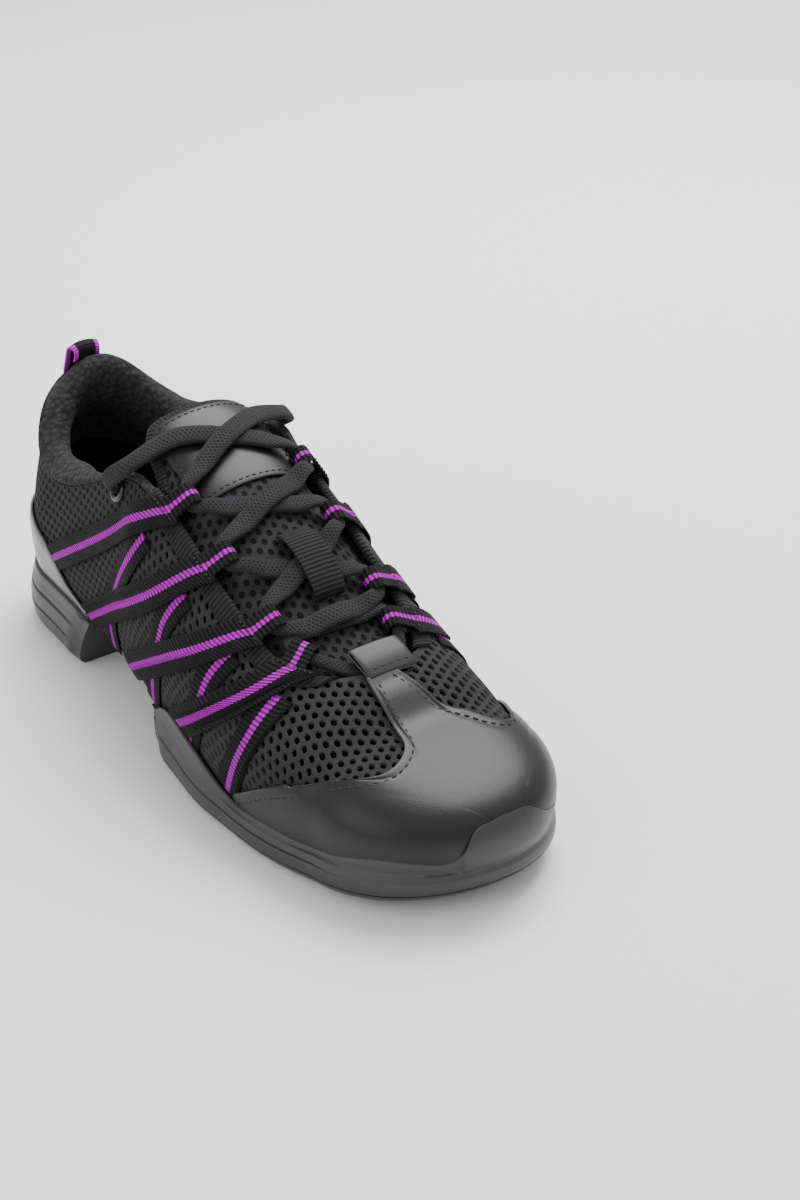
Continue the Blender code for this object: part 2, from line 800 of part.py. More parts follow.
def make_tongue():
    shares = np.concatenate([np.linspace(0.790, 0.385, 14), [0.365, 0.350, 0.339, 0.330]])
    cols = np.array([-1, -0.8, -0.5, -0.18, 0.18, 0.5, 0.8, 1.0])
    q = share_q(shares)[:, None] + 0 * cols
    wide = tongue_half(shares[:, None], cols) * cols
    drop = tongue_drop(shares)[:, None] + 0 * cols
    outer = tongue_point(q, wide, drop)
    inner = tongue_point(q, wide * 0.98, drop + TONGUE_THICK)
    n, m = q.shape
    faces = [[i * m + j, i * m + j + 1, (i + 1) * m + j + 1, (i + 1) * m + j]
             for i in range(n - 1) for j in range(m - 1)]
    body, walls = close_sheet(outer.reshape(-1, 3), inner.reshape(-1, 3), faces)
    return solid("tongue", body, walls, (0.035, 0.035, 0.036), 0.8)


# Overlays

RIM_GAP = 0.0006
OVERLAY = 0.0006
OVERLAY_THICK = 0.0010
CAP_LIFT = 0.0011
CUP_RISE = 0.0014

# Top edge of the heel cup.  Columns: zone, place, rise (share of instep)
CUP_EDGE = [
    ("side", 0.256, 0.034),
    ("side", 0.223, 0.054),
    ("side", 0.193, 0.082),
    ("side", 0.166, 0.133),
    ("side", 0.134, 0.186),
    ("heel", 105, 0.232),
    ("heel", 140, 0.256),
    ("heel", 180, 0.266),
]

# Straps from sole to throat.  Columns: number, then share of the last and rise
# (share of instep) at the sole, halfway and just under the throat
STRAPS = [
    (1, 0.140, 0.130, 0.316, 0.465, 0.458),
    (2, 0.245, 0.000, 0.469, 0.457, 0.551),
    (3, 0.390, 0.000, 0.587, 0.444, 0.650),
    (4, 0.560, 0.090, 0.684, 0.414, 0.715),
]

# Zigzag ribbons under the straps.  Columns: number, then share and rise pairs
RIBBONS = [
    (1, 0.440, 0.660, 0.413, 0.506, 0.372, 0.334, 0.340, 0.160, 0.338, -0.010),
    (2, 0.545, 0.600, 0.525, 0.459, 0.517, 0.346, 0.496, 0.160, 0.474, -0.010),
    (3, 0.645, 0.550, 0.635, 0.439, 0.630, 0.344, 0.618, 0.200, 0.600, 0.080),
    (4, 0.728, 0.500, 0.727, 0.400, 0.722, 0.294, 0.706, 0.160, 0.686, 0.040),
]
RIBBON_LIFT = (0.00055, 0.00100)
STRAP_LIFT = (0.00195, 0.00275)
LOOP_REACH = 0.0080
LOOP_TURN = 0.0029
LOOP_TAPER = 0.50
INNER_STEEPER = 0.35

# Outline of the toe cap's top edge.  Columns: side, distance round the last from
# the toe (share of toe radius), rise (share of instep)
CAP_EDGE = [
    (-1, 2.610, 0.058),
    (-1, 2.390, 0.120),
    (-1, 2.110, 0.189),
    (-1, 1.920, 0.221),
    (-1, 1.730, 0.256),
    (-1, 1.540, 0.294),
    (-1, 1.380, 0.334),
    (-1, 1.235, 0.376),
    (-1, 1.190, 0.425),
    (-1, 1.215, 0.478),
    (-1, 1.330, 0.530),
    (-1, 1.595, 0.579),
    (-1, 1.838, 0.651),
    (-1, 2.140, 0.735),
    (1, 2.140, 0.748),
    (1, 1.900, 0.654),
    (1, 1.690, 0.560),
    (1, 1.500, 0.468),
    (1, 1.300, 0.400),
    (1, 1.290, 0.335),
    (1, 1.420, 0.290),
    (1, 1.620, 0.262),
    (1, 1.900, 0.225),
    (1, 2.300, 0.150),
    (1, 2.600, 0.075),
]


def cup_edge(g):
    q = [perimeter(r[0], r[1]) for r in CUP_EDGE]
    edge = smooth(q, [r[2] for r in CUP_EDGE], np.abs(g)) * INSTEP
    return np.where(np.abs(g) < q[0] - 1e-9, 0.0, edge)


def rim_top(g):
    """Height up the wall that the two sole units cover."""
    q = np.abs(g)
    fore = rim_rise(g) * step01(share_q(FORE_REAR) - q, 0.0, 0.012)
    heel = CUP_RISE * step01(q - share_q(HEEL_FRONT), 0.0, 0.012)
    return np.where(q < share_q(0.40), fore, heel)


def covered(g):
    """Lowest height up the wall where a band can show."""
    cap = np.zeros_like(g)
    for hand in (-1, 1):
        tail = [(r[1] * TOE_RADIUS, r[2] * INSTEP) for r in CAP_EDGE if r[0] == hand]
        tail = sorted(t for t in tail if t[1] < 0.27 * INSTEP)
        rise = np.interp(g * hand, [t[0] for t in tail], [t[1] for t in tail])
        here = (g * hand > 0) & (g * hand < tail[-1][0] + 2 * RIM_GAP)
        cap = np.where(here, rise + RIM_GAP, cap)
    return np.maximum(np.maximum(rim_top(g), cup_edge(g)), cap) + RIM_GAP


def band_columns(path, side, width, count, cols, to_edge):
    """Columns of a band on the wall, trimmed at the sole and at the throat."""
    path = np.array(path)
    knots = np.linspace(0, 1, len(path))
    t = np.linspace(0, 1, 241)
    q = smooth(knots, path[:, 0], t)
    a = smooth(knots, path[:, 1], t)
    dq, da = np.gradient(q), np.gradient(a)
    size = np.hypot(dq, da)
    out = []
    for c in cols:
        off = c * width / 2
        cq, ca = q - da / size * off, a + dq / size * off
        low = covered(side * cq)
        full = wall_length(side * cq)
        keep = np.where((ca >= low) & (ca <= full))[0]
        i, j = keep[0], keep[-1]
        qs = np.interp(np.linspace(i, j, count), np.arange(len(t)), cq)
        as_ = np.interp(np.linspace(i, j, count), np.arange(len(t)), ca)
        if to_edge:
            full_end = wall_length(np.array([side * qs[-1]]))[0]
            as_[-1] = min(full_end, as_[-1] + 0.002)
        out.append((side * qs, as_))
    return out


def band_rings(columns, lift):
    low = [surf(g, a, lift[0]) for g, a in columns]
    high = [surf(g, a, lift[1]) for g, a in columns]
    return [[*(h[i] for h in high), *(k[i] for k in reversed(low))]
            for i in range(len(high[0]))]


def strap_path(row, side):
    """Distance round the last and height of a strap, sole to just past the edge."""
    _, s0, a0, s1, a1, s2 = row
    q2 = share_q(s2)
    outer, edge = wall_length(np.array([-q2, side * q2]))
    if side > 0:
        s1 += (s2 - s1) * INNER_STEEPER
    p0, p1 = (share_q(s0), a0 * INSTEP), (share_q(s1), a1 * INSTEP * edge / outer)
    past = 0.004
    way = np.array([q2 - p1[0], edge - p1[1]])
    way = way / np.linalg.norm(way)
    return [p0, p1, (q2, edge), (q2 + way[0] * past, edge + way[1] * past)]


def loop_frame(row, side):
    """Edge point, inward direction, normal and direction to the toe of a loop."""
    q2 = share_q(row[5])
    g = np.array([side * q2])
    full = wall_length(g)
    edge = surf(g, full)[0]
    lifted = surf(g, full, 0.001)[0]
    n = (lifted - edge) / np.linalg.norm(lifted - edge)
    ahead, behind = g - side * 0.004, g + side * 0.004
    along = surf(ahead, wall_length(ahead))[0] - surf(behind, wall_length(behind))[0]
    along = along - n * along.dot(n)
    along = along / np.linalg.norm(along)
    d = np.cross(n, along) * -side
    return edge, d, n, along


def make_strap(row, side, name, colour):
    cols = (-1, 0, 1)
    columns = band_columns(strap_path(row, side), side, WEBBING, 10, cols, True)
    rings = band_rings(columns, STRAP_LIFT)
    edge, d, n, toe = loop_frame(row, side)
    mid = sum(STRAP_LIFT) / 2
    half = WEBBING_THICK / 2
    ends = [surf(g[-1:], a[-1:])[0] for g, a in columns]
    wide = math.copysign(WEBBING / 2 * LOOP_TAPER, (ends[2] - ends[0]).dot(toe))
    tops = [edge + toe * wide * c for c in cols]

    def ring(reach, turn):
        """A ring of the loop at a reach past the edge and an angle round its end."""
        centre = d * (reach + LOOP_TURN * math.sin(turn))
        centre = centre + n * (mid - LOOP_TURN + LOOP_TURN * math.cos(turn))
        face = d * math.sin(turn) + n * math.cos(turn)
        outer = [p + centre + face * half for p in tops]
        inner = [p + centre - face * half for p in reversed(tops)]
        return outer + inner

    for k in range(5):
        rings.append(ring(LOOP_REACH, math.pi * k / 4))
    rings.append(ring(-0.0015, math.pi))
    points, faces = sweep(rings)
    return solid(name, points, faces, colour, 0.7)


def make_ribbon(row, side, name, colour):
    path = [(share_q(row[i]), row[i + 1] * INSTEP) for i in range(1, len(row), 2)]
    columns = band_columns(path[::-1], side, WEBBING, 7, (-1, 0, 1), False)
    points, faces = sweep(band_rings(columns, RIBBON_LIFT))
    return solid(name, points, faces, colour, 0.7)


def make_heel_cup():
    q = ring_stations(share_q(0.240), Q_END, 8, 20)
    g = np.concatenate([q, -q[-2::-1]])
    low, high = rim_top(g) + RIM_GAP, cup_edge(g)
    v = np.array([0, 0.5, 1.0])
    a = low[:, None] + (high - low)[:, None] * v
    gg = g[:, None] + 0 * v
    outer, inner = surf(gg, a, OVERLAY + OVERLAY_THICK), surf(gg, a, OVERLAY)
    n, m = a.shape
    faces = [[i * m + j, (i + 1) * m + j, (i + 1) * m + j + 1, i * m + j + 1]
             for i in range(n - 1) for j in range(m - 1)]
    body, walls = close_sheet(outer.reshape(-1, 3), inner.reshape(-1, 3), faces)
    return solid("heel_cup", body, walls, (0.30, 0.30, 0.31), 0.45)


def closed_length(q, side):
    q, side = np.asarray(q, float), np.asarray(side, float)
    p = tuple(k[..., None, :] for k in closed_profile(side, q))
    pts = bezier(p, np.broadcast_to(STEPS, q.shape + STEPS.shape))
    return np.linalg.norm(np.diff(pts, axis=-2), axis=-1).sum(-1)


def develop(g, a):
    """Lay a point of the closed forepart flat about the toe's pivot."""
    side = np.where(g < 0, -1.0, 1.0)
    q = np.abs(g)
    rho = closed_length(q, side) - a
    turn = np.minimum(q / TOE_RADIUS, math.pi / 2)
    x = np.where(q < Q_TOE, rho * np.cos(turn), Q_TOE - q)
    return np.stack([x, side * rho * np.where(q < Q_TOE, np.sin(turn), 1.0)], -1)


def undevelop(flat):
    x, y = flat[..., 0], flat[..., 1]
    side = np.where(y < 0, -1.0, 1.0)
    turn = np.arctan2(np.abs(y), x)
    q = np.where(x > 0, turn * TOE_RADIUS, Q_TOE - x)
    rho = np.where(x > 0, np.hypot(x, y), np.abs(y))
    return side * q, np.maximum(closed_length(q, side) - rho, 0.0)


def make_toe_cap():
    edge = np.array([(s * q * TOE_RADIUS, a * INSTEP) for s, q, a in CAP_EDGE])
    foot = np.linspace(edge[-1][0], edge[0][0], 37)
    low = rim_top(foot) + RIM_GAP
    loop = develop(edge[:, 0], edge[:, 1])
    dense = []
    for p, q in zip(loop[:-1], loop[1:]):
        n = max(1, round(np.linalg.norm(q - p) / 0.0065))
        dense += [p + (q - p) * k / n for k in range(n)]
    dense.append(loop[-1])
    dense += list(develop(foot, low))
    dense = np.array(dense)
    inside = []
    step = 0.0068
    for x in np.arange(dense[:, 0].min(), dense[:, 0].max(), step):
        for y in np.arange(dense[:, 1].min(), dense[:, 1].max(), step):
            p = np.array([x, y])
            if np.linalg.norm(dense - p, axis=1).min() > step * 0.55 and within(p, dense):
                inside.append(p)
    verts = [Vector(p) for p in [*dense, *inside]]
    edges = [(i, (i + 1) % len(dense)) for i in range(len(dense))]
    out = delaunay_2d_cdt(verts, edges, [], 1, 1e-6)
    flat, faces = np.array([tuple(v) for v in out[0]]), [list(f) for f in out[2]]
    g, a = undevelop(flat)
    outer, inner = surf(g, a, CAP_LIFT + OVERLAY_THICK), surf(g, a, CAP_LIFT)
    body, walls = close_sheet(outer, inner, faces)
    return solid("toe_cap", body, walls, (0.075, 0.075, 0.078), 0.35)


def within(p, loop):
    """Whether a point is inside a closed polygon."""
    a, b = loop, np.roll(loop, -1, axis=0)
    spans = (a[:, 1] > p[1]) != (b[:, 1] > p[1])
    run = np.where(spans, b[:, 1] - a[:, 1], 1.0)
    x = a[:, 0] + (p[1] - a[:, 1]) * (b[:, 0] - a[:, 0]) / run
    return bool((spans & (p[0] < x)).sum() % 2)


# Eyelets, laces and trim

PULL_WIDTH = 0.0104

EYELET_SHARE = 0.331
EYELET_DOWN = 0.0056
EYELET_BORE = 0.0025
EYELET_BARREL = 0.0033
EYELET_FLANGE = 0.0047


def eyelet_frame(side):
    g = np.array([side * share_q(EYELET_SHARE)])
    a = wall_length(g) - EYELET_DOWN
    centre = surf(g, a)[0]
    n = surf(g, a, 0.001)[0] - centre
    n = n / np.linalg.norm(n)
    u = surf(g, a + 0.002)[0] - centre
    u = u - n * u.dot(n)
    u = u / np.linalg.norm(u)
    return centre, n, u, np.cross(n, u)


def make_eyelet(side, name):
    centre, n, u, w = eyelet_frame(side)
    foot = -(WALL + 0.0007)
    profile_rh = [
        (EYELET_BORE, foot),
        (EYELET_BARREL, foot),
        (EYELET_BARREL, 0.00050),
        (EYELET_FLANGE, 0.00060),
        (EYELET_FLANGE - 0.0005, 0.00125),
        (EYELET_BARREL - 0.0003, 0.00140),
        (EYELET_BORE, 0.00100),
    ]
    rings = []
    for k in range(12):
        turn = 2 * math.pi * k / 12
        out = u * math.cos(turn) + w * math.sin(turn)
        rings.append([centre + out * r + n * h for r, h in profile_rh])
    points, faces = sweep([*rings, rings[0]], closed_ends=False)
    return solid(name, points, faces, (0.012, 0.012, 0.012), 0.2)


def pierce_upper(upper, side):
    """Cut the eyelet's hole in the upper's wall."""
    centre, n, _, _ = eyelet_frame(side)
    bpy.ops.mesh.primitive_cylinder_add(
        vertices=20, radius=EYELET_BARREL + 0.0004, depth=0.014, location=centre
    )
    cutter = bpy.context.object
    cutter.name = "eyelet_cutter_outer" if side < 0 else "eyelet_cutter_inner"
    cutter.rotation_mode = "QUATERNION"
    cutter.rotation_quaternion = Vector(n).to_track_quat("Z", "Y")
    cutter.hide_render = True
    cutter.display_type = "WIRE"
    cut = upper.modifiers.new(cutter.name, "BOOLEAN")
    cut.operation = "DIFFERENCE"
    cut.solver = "EXACT"
    cut.object = cutter
    return cutter


def spline(points, turn=20, reach=0.0110):
    """Catmull-Rom through rows of any width, with a row for each bend or reach.

    The first three columns are the place.  A row is kept where the line has
    turned by the given degrees, or run that far, since the last one kept."""
    points = np.array(points)
    gap = np.linalg.norm(np.diff(points[:, :3], axis=0), axis=1) ** 0.6
    knots = np.concatenate([[0], np.cumsum(gap)])
    t = np.interp(np.linspace(0, len(knots) - 1, 10 * len(knots)), range(len(knots)), knots)
    line = np.stack([smooth(knots, points[:, k], t) for k in range(points.shape[1])], -1)
    way = np.gradient(line[:, :3], axis=0)
    way /= np.linalg.norm(way, axis=1, keepdims=True)
    kept = [0]
    for i in range(1, len(line) - 2):
        bent = way[i].dot(way[kept[-1]]) < math.cos(math.radians(turn))
        far = np.linalg.norm(line[i, :3] - line[kept[-1], :3])
        if far > reach or (bent and far > 0.0009):
            kept.append(i)
    kept.append(len(line) - 1)
    return line[kept], way[kept]


BAR_SHARE = 0.7440
LACE_CLEAR = 0.0009
LACE_BESIDE = 0.0034
LACE_TURN = 0.0052
LACE_DIP = 0.0010
LOOP_LACE = (0.0036, 0.0030)
PATCH_LIFT = 0.0006
PATCH_RISE = 0.0012


def on_tongue(share, across, rise):
    """Points above the tongue and its normals there."""
    share, across, rise = np.broadcast_arrays(
        *(np.asarray(k, float) for k in (share, across, rise)))

    def base(ds, da):
        return tongue_point(share_q(share + ds), across + da, tongue_drop(share + ds))

    n = np.cross(base(0.004, 0) - base(-0.004, 0), base(0, 0.001) - base(0, -0.001))
    n /= np.linalg.norm(n, axis=-1, keepdims=True)
    n *= np.where(n[..., 2:] < 0, -1.0, 1.0)
    return base(0, 0) + n * rise[..., None], n


def tongue_place(p):
    """Share of the last and signed distance from the middle of a point."""
    share = (p[0] - BACK) / LAST_LENGTH
    middle = smooth([r[0] for r in CENTRE], [r[1] for r in CENTRE], share) * BALL_WIDTH
    return np.array([share, p[1] - float(middle)])


def near_tongue(p, rise):
    """Share and distance from the middle whose place above the tongue is at p."""
    place = tongue_place(p)
    for _ in range(5):
        place = place + tongue_place(p) - tongue_place(on_tongue(*place, rise)[0])
    return place


def beside_loop(k, side, ahead):
    """Where the lace lies beside a loop, ahead of it or behind, and its normal."""
    hub, d, n, toe = loop_hub(k, side)
    reach = WEBBING * LOOP_TAPER / 2 + LACE_BESIDE
    return hub + toe * ahead * reach + d * LACE_TURN - n * LACE_DIP, n


def loop_hub(k, side):
    """Middle of a strap's loop with its inward, outward and toe directions."""
    edge, d, n, toe = loop_frame(STRAPS[k], side)
    hub = edge + d * (LOOP_REACH - 0.0018)
    return hub + n * (sum(STRAP_LIFT) / 2 - LOOP_TURN), d, n, toe


def lace_half(first_side):
    """Centre line, normals and section of one half of the lace.

    Each half starts in the bar below the lowest loops, crosses the tongue from
    loop to loop and ends inside a top eyelet."""
    rows = []
    half_t = LACE_THICK / 2
    half_loop = WEBBING * LOOP_TAPER / 2

    def add(p, n, wide=LACE_WIDTH, thick=LACE_THICK):
        rows.append([*p, *n, wide, thick])

    side = first_side
    for across in (-0.0030, 0.0035, 0.0085):
        add(*on_tongue(BAR_SHARE, side * across, LACE_CLEAR + half_t), 0.0050)
    for k in (3, 2, 1, 0):
        hub, d, n, toe = loop_hub(k, side)
        add(hub + toe * (half_loop + 0.0008) + d * 0.0007, n, *LOOP_LACE)
        add(hub, n, *LOOP_LACE)
        add(hub - toe * (half_loop + 0.0008) + d * 0.0007, n, *LOOP_LACE)
        rise = LACE_CLEAR + half_t + (0.0 if k else PATCH_RISE)
        out, n = beside_loop(k, side, -1)
        add(out, n, *LOOP_LACE)
        leave = near_tongue(out, rise)
        arrive = np.array([EYELET_SHARE + 0.046, -side * 0.0170])
        if k:
            back, n = beside_loop(k - 1, -side, 1)
            arrive = near_tongue(back, rise)
        for t in (0.22, 0.4, 0.6, 0.78):
            share, across = leave * (1 - t) + arrive * t
            add(*on_tongue(share, across, rise + 0.0002))
        if k:
            add(back, n, *LOOP_LACE)
        else:
            add(*on_tongue(*arrive, rise + 0.0004))
        side = -side
    centre, n, u, _ = eyelet_frame(side)
    g = np.array([side * share_q(EYELET_SHARE + 0.030)])
    full = wall_length(g)
    crest, lifted = surf(g, full - 0.0005)[0], surf(g, full - 0.0005, 0.0042)[0]
    way = (lifted - crest) / np.linalg.norm(lifted - crest)
    add(lifted + u * 0.0025, way, 0.0060, LACE_THICK)
    add(centre + n * 0.0058 + u * 0.0024, n * 0.7 - u * 0.7, 0.0038, 0.0026)
    add(centre + n * 0.0020, -u, *LOOP_LACE)
    add(centre - n * 0.0016, -u, *LOOP_LACE)
    return np.array(rows)


def lace_body(name, first_side):
    line, way = spline(lace_half(first_side))
    p = line[:, :3]
    n = line[:, 3:6]
    n = n - way * (n * way).sum(1, keepdims=True)
    n /= np.linalg.norm(n, axis=1, keepdims=True)
    b = np.cross(way, n)
    rings = []
    for i in range(len(line)):
        w, t = line[i, 6] / 2, line[i, 7] / 2
        shape = [(-w, 0), (-0.68 * w, -t), (0.68 * w, -t), (w, 0), (0.68 * w, t),
                 (-0.68 * w, t)]
        rings.append([p[i] + b[i] * x + n[i] * y for x, y in shape])
    points, faces = sweep(rings)
    return solid(name, points, faces, (0.045, 0.045, 0.046), 0.85)


def make_laces():
    """Both halves of the lace, joined where they cross and in the bar."""
    lace = lace_body("laces", -1.0)
    other = lace_body("lace_second_half", 1.0)
    other.hide_render = True
    other.display_type = "WIRE"
    join = lace.modifiers.new("crossings", "BOOLEAN")
    join.operation = "UNION"
    join.solver = "EXACT"
    join.object = other
    return other


def tongue_sheet(name, shares, half, low, high, colour, rough, hump=0.0):
    """A sheet on the tongue, or a bridge over it where hump is given."""
    cols = np.array([-1, -0.5, 0, 0.5, 1.0])
    s = np.asarray(shares)
    wide = np.asarray(half)[:, None] * cols
    rise = hump * np.sin(np.linspace(0, math.pi, len(s))) ** 0.45
    rise = rise[:, None] + 0 * cols
    outer = on_tongue(s[:, None], wide, rise + high)[0]
    inner = on_tongue(s[:, None], wide, rise + low)[0]
    n, m = wide.shape
    faces = [[i * m + j, i * m + j + 1, (i + 1) * m + j + 1, (i + 1) * m + j]
             for i in range(n - 1) for j in range(m - 1)]
    body, walls = close_sheet(outer.reshape(-1, 3), inner.reshape(-1, 3), faces)
    return solid(name, body, walls, colour, rough)


def make_pull_loop():
    """Webbing loop that stands on the heel's top and is sewn to its back."""
    cols = (-1, 0, 1)
    half = WEBBING_THICK / 2
    reach = PULL_WIDTH / 2
    g = np.array([-Q_END - reach * c if c < 0 else Q_END - reach * c for c in cols])
    full = wall_length(g)
    lift = GAP + half
    rings = []
    for back in (0.0130, 0.0085, 0.0040, 0.0):
        outer = surf(g, full - back, lift + half)
        inner = surf(g, full - back, lift - half)
        rings.append([*outer, *inner[::-1]])
    base = surf(g, full, lift)
    face = surf(g, full, lift + half) - base
    face /= np.linalg.norm(face, axis=1, keepdims=True)
    up = base - surf(g, full - 0.003, lift)
    up /= np.linalg.norm(up, axis=1, keepdims=True)
    top, turn_r = COLLAR_RISE + 0.0085, 0.0022

    def ring(height, turn):
        centre = base + up * (height + turn_r * math.sin(turn))
        centre = centre - face * (turn_r - turn_r * math.cos(turn))
        out = up * math.sin(turn) + face * math.cos(turn)
        return [*(centre + out * half), *(centre - out * half)[::-1]]

    rings.append(ring(COLLAR_RISE, 0.0))
    for k in range(6):
        rings.append(ring(top, math.pi * k / 5))
    rings.append(ring(COLLAR_RISE + 0.0008, math.pi))
    points, faces = sweep(rings)
    return solid("pull_loop", points, faces, (0.03, 0.018, 0.03), 0.7)


def make_bands():
    black = (0.022, 0.014, 0.022)
    for side, word in ((-1.0, "outer"), (1.0, "inner")):
        for row in RIBBONS:
            make_ribbon(row, side, f"ribbon_{word}_{row[0]}", black)
        for row in STRAPS:
            make_strap(row, side, f"strap_{word}_{row[0]}", black)


def make_tongue_trim():
    s = np.linspace(0.352, 0.452, 7)
    t = np.linspace(-1, 1, 7)
    half = 0.0185 * (1 - 0.35 * np.abs(t) ** 5)
    tongue_sheet("tongue_patch", s[::-1], half[::-1], PATCH_LIFT, PATCH_LIFT + 0.0008,
                 (0.09, 0.09, 0.094), 0.35)
    ends = [near_tongue(beside_loop(k, side, ahead)[0], LACE_THICK)[0]
            for k, ahead in ((2, -1), (1, 1)) for side in (-1.0, 1.0)]
    mid = sum(ends) / len(ends)
    s = np.linspace(mid + 0.045, mid - 0.045, 11)
    tongue_sheet("lace_keeper", s, np.full(len(s), 0.0062), GAP, GAP + WEBBING_THICK,
                 (0.03, 0.03, 0.031), 0.7, hump=0.0060)


def centre_all(cutters, other_half):
    """Put the origin at the middle of the box's underside."""
    objs = [o for o in bpy.data.objects if o.type == "MESH" and o not in cutters]
    pts = np.array([v.co[:] for o in objs if o is not other_half
                    for v in o.data.vertices])
    shift = -(pts.min(0) + pts.max(0)) / 2
    shift[2] = -pts[:, 2].min()
    for o in objs:
        for v in o.data.vertices:
            v.co += Vector(shift)
    for o in cutters:
        o.location += Vector(shift)
    return shift


def main():
    clear_scene()
    make_forepart()
    make_heel()
    make_slab("lasting_board", 0.0026, 0.0001, 0.0017, (0.05, 0.05, 0.05), 0.8)
    make_slab("insole", 0.0030, 0.0021, 0.0046, (0.04, 0.04, 0.042), 0.85)
    upper = make_upper()
    cutters = [pierce_upper(upper, side) for side in (-1.0, 1.0)]
    make_tongue()
    make_tongue_trim()
    make_heel_cup()
    make_toe_cap()
    make_bands()
    make_eyelet(-1.0, "eyelet_outer")
    make_eyelet(1.0, "eyelet_inner")
    other_half = make_laces()
    make_pull_loop()
    centre_all(cutters, other_half)


main()
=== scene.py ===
"""Looks of a dance sneaker, right shoe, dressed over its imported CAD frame.

Every piece is laid on one last, the same one that the solids were built on.
g runs round the last from the heel (negative on the outer side) through zero at
the toe to the heel again, and a is the height up the wall from the featherline.
Texture maps on the pieces are in millimetres: along first, then across.
"""

from __future__ import annotations

import functools
import json
import logging
import math
from collections.abc import Sequence
from dataclasses import dataclass
from enum import Enum

import bmesh
import bpy
import numpy as np
from bmesh.types import BMesh
from bpy.types import Material, Node, NodeSocket, NodeTree, Object
from mathutils import Matrix, Vector

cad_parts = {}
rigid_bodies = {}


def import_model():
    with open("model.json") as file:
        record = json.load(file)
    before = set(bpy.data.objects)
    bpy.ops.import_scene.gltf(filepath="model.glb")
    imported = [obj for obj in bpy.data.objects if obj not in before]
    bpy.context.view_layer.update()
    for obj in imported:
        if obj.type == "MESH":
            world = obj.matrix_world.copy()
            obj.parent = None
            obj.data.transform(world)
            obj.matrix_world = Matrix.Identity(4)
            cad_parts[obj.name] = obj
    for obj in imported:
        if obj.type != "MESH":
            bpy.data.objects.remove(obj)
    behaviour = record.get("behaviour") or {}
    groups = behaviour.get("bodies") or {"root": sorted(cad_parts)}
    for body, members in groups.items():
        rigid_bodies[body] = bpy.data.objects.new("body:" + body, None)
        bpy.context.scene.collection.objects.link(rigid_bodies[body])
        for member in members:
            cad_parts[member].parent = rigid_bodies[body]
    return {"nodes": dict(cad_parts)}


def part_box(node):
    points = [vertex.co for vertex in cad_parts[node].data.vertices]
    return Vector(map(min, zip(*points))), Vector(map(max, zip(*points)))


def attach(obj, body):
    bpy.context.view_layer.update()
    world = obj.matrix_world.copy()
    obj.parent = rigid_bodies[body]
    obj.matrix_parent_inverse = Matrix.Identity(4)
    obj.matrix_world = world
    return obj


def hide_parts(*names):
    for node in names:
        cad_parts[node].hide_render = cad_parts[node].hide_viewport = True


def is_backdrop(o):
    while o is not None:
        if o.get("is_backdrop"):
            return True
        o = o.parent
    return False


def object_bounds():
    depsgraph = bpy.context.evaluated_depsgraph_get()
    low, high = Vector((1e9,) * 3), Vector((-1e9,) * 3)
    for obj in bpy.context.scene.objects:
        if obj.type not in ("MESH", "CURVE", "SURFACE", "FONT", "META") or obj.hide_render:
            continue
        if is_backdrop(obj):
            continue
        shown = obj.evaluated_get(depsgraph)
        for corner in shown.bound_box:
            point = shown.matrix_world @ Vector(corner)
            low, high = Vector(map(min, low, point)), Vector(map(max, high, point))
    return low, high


Array = np.ndarray
Arrays = tuple[np.ndarray, ...]
LOG = logging.getLogger("dance_sneaker")
ROOT = "root"

OUTER, INNER = -1.0, 1.0
SIDE_WORD = {OUTER: "outer", INNER: "inner"}
MATH = "ShaderNodeMath"

# Whole last: zone, place, outer and inner half width, featherline height, wall
# angle, handle
LAST_ROWS = [
    ("toe", 0, 0.415, 0.415, 0.72, 64, 0.46), ("toe", 30, 0.43, 0.412, 0.71, 66, 0.46),
    ("toe", 60, 0.462, 0.395, 0.67, 68, 0.46), ("side", 0.855, 0.492, 0.382, 0.61, 70, 0.46),
    ("side", 0.8, 0.512, 0.405, 0.55, 72, 0.46), ("side", 0.745, 0.523, 0.42, 0.53, 73, 0.45),
    ("side", 0.69, 0.523, 0.415, 0.53, 74, 0.44), ("side", 0.63, 0.528, 0.39, 0.58, 75, 0.42),
    ("side", 0.55, 0.507, 0.353, 0.72, 76, 0.4), ("side", 0.45, 0.476, 0.314, 0.86, 78, 0.4),
    ("side", 0.37, 0.435, 0.322, 0.93, 80, 0.38), ("side", 0.3, 0.4, 0.334, 0.95, 80, 0.38),
    ("side", 0.21, 0.375, 0.348, 0.96, 78, 0.38), ("side", 0.118, 0.358, 0.348, 0.96, 77, 0.38),
    ("heel", 120, 0.352, 0.345, 0.96, 76, 0.38), ("heel", 150, 0.346, 0.342, 0.96, 75, 0.38),
    ("heel", 180, 0.341, 0.341, 0.96, 74, 0.38),
]
# Crest of the forepart: zone, place, height, handle
CREST_ROWS = [
    ("side", 0.855, 0.5, 0.62), ("side", 0.8, 0.575, 0.6), ("side", 0.745, 0.648, 0.58),
    ("side", 0.69, 0.73, 0.56), ("side", 0.63, 0.835, 0.54), ("side", 0.55, 0.965, 0.52),
    ("side", 0.48, 1.065, 0.5), ("side", 0.42, 1.14, 0.5), ("side", 0.32, 1.24, 0.5),
]
# Half width of the throat: share of the last, outer, inner
THROAT_ROWS = [
    (0.768, 0.0, 0.0), (0.76, 0.13, 0.115), (0.747, 0.215, 0.178), (0.727, 0.282, 0.22),
    (0.697, 0.325, 0.25), (0.66, 0.342, 0.266), (0.6, 0.352, 0.272), (0.52, 0.354, 0.282),
    (0.42, 0.345, 0.312),
]
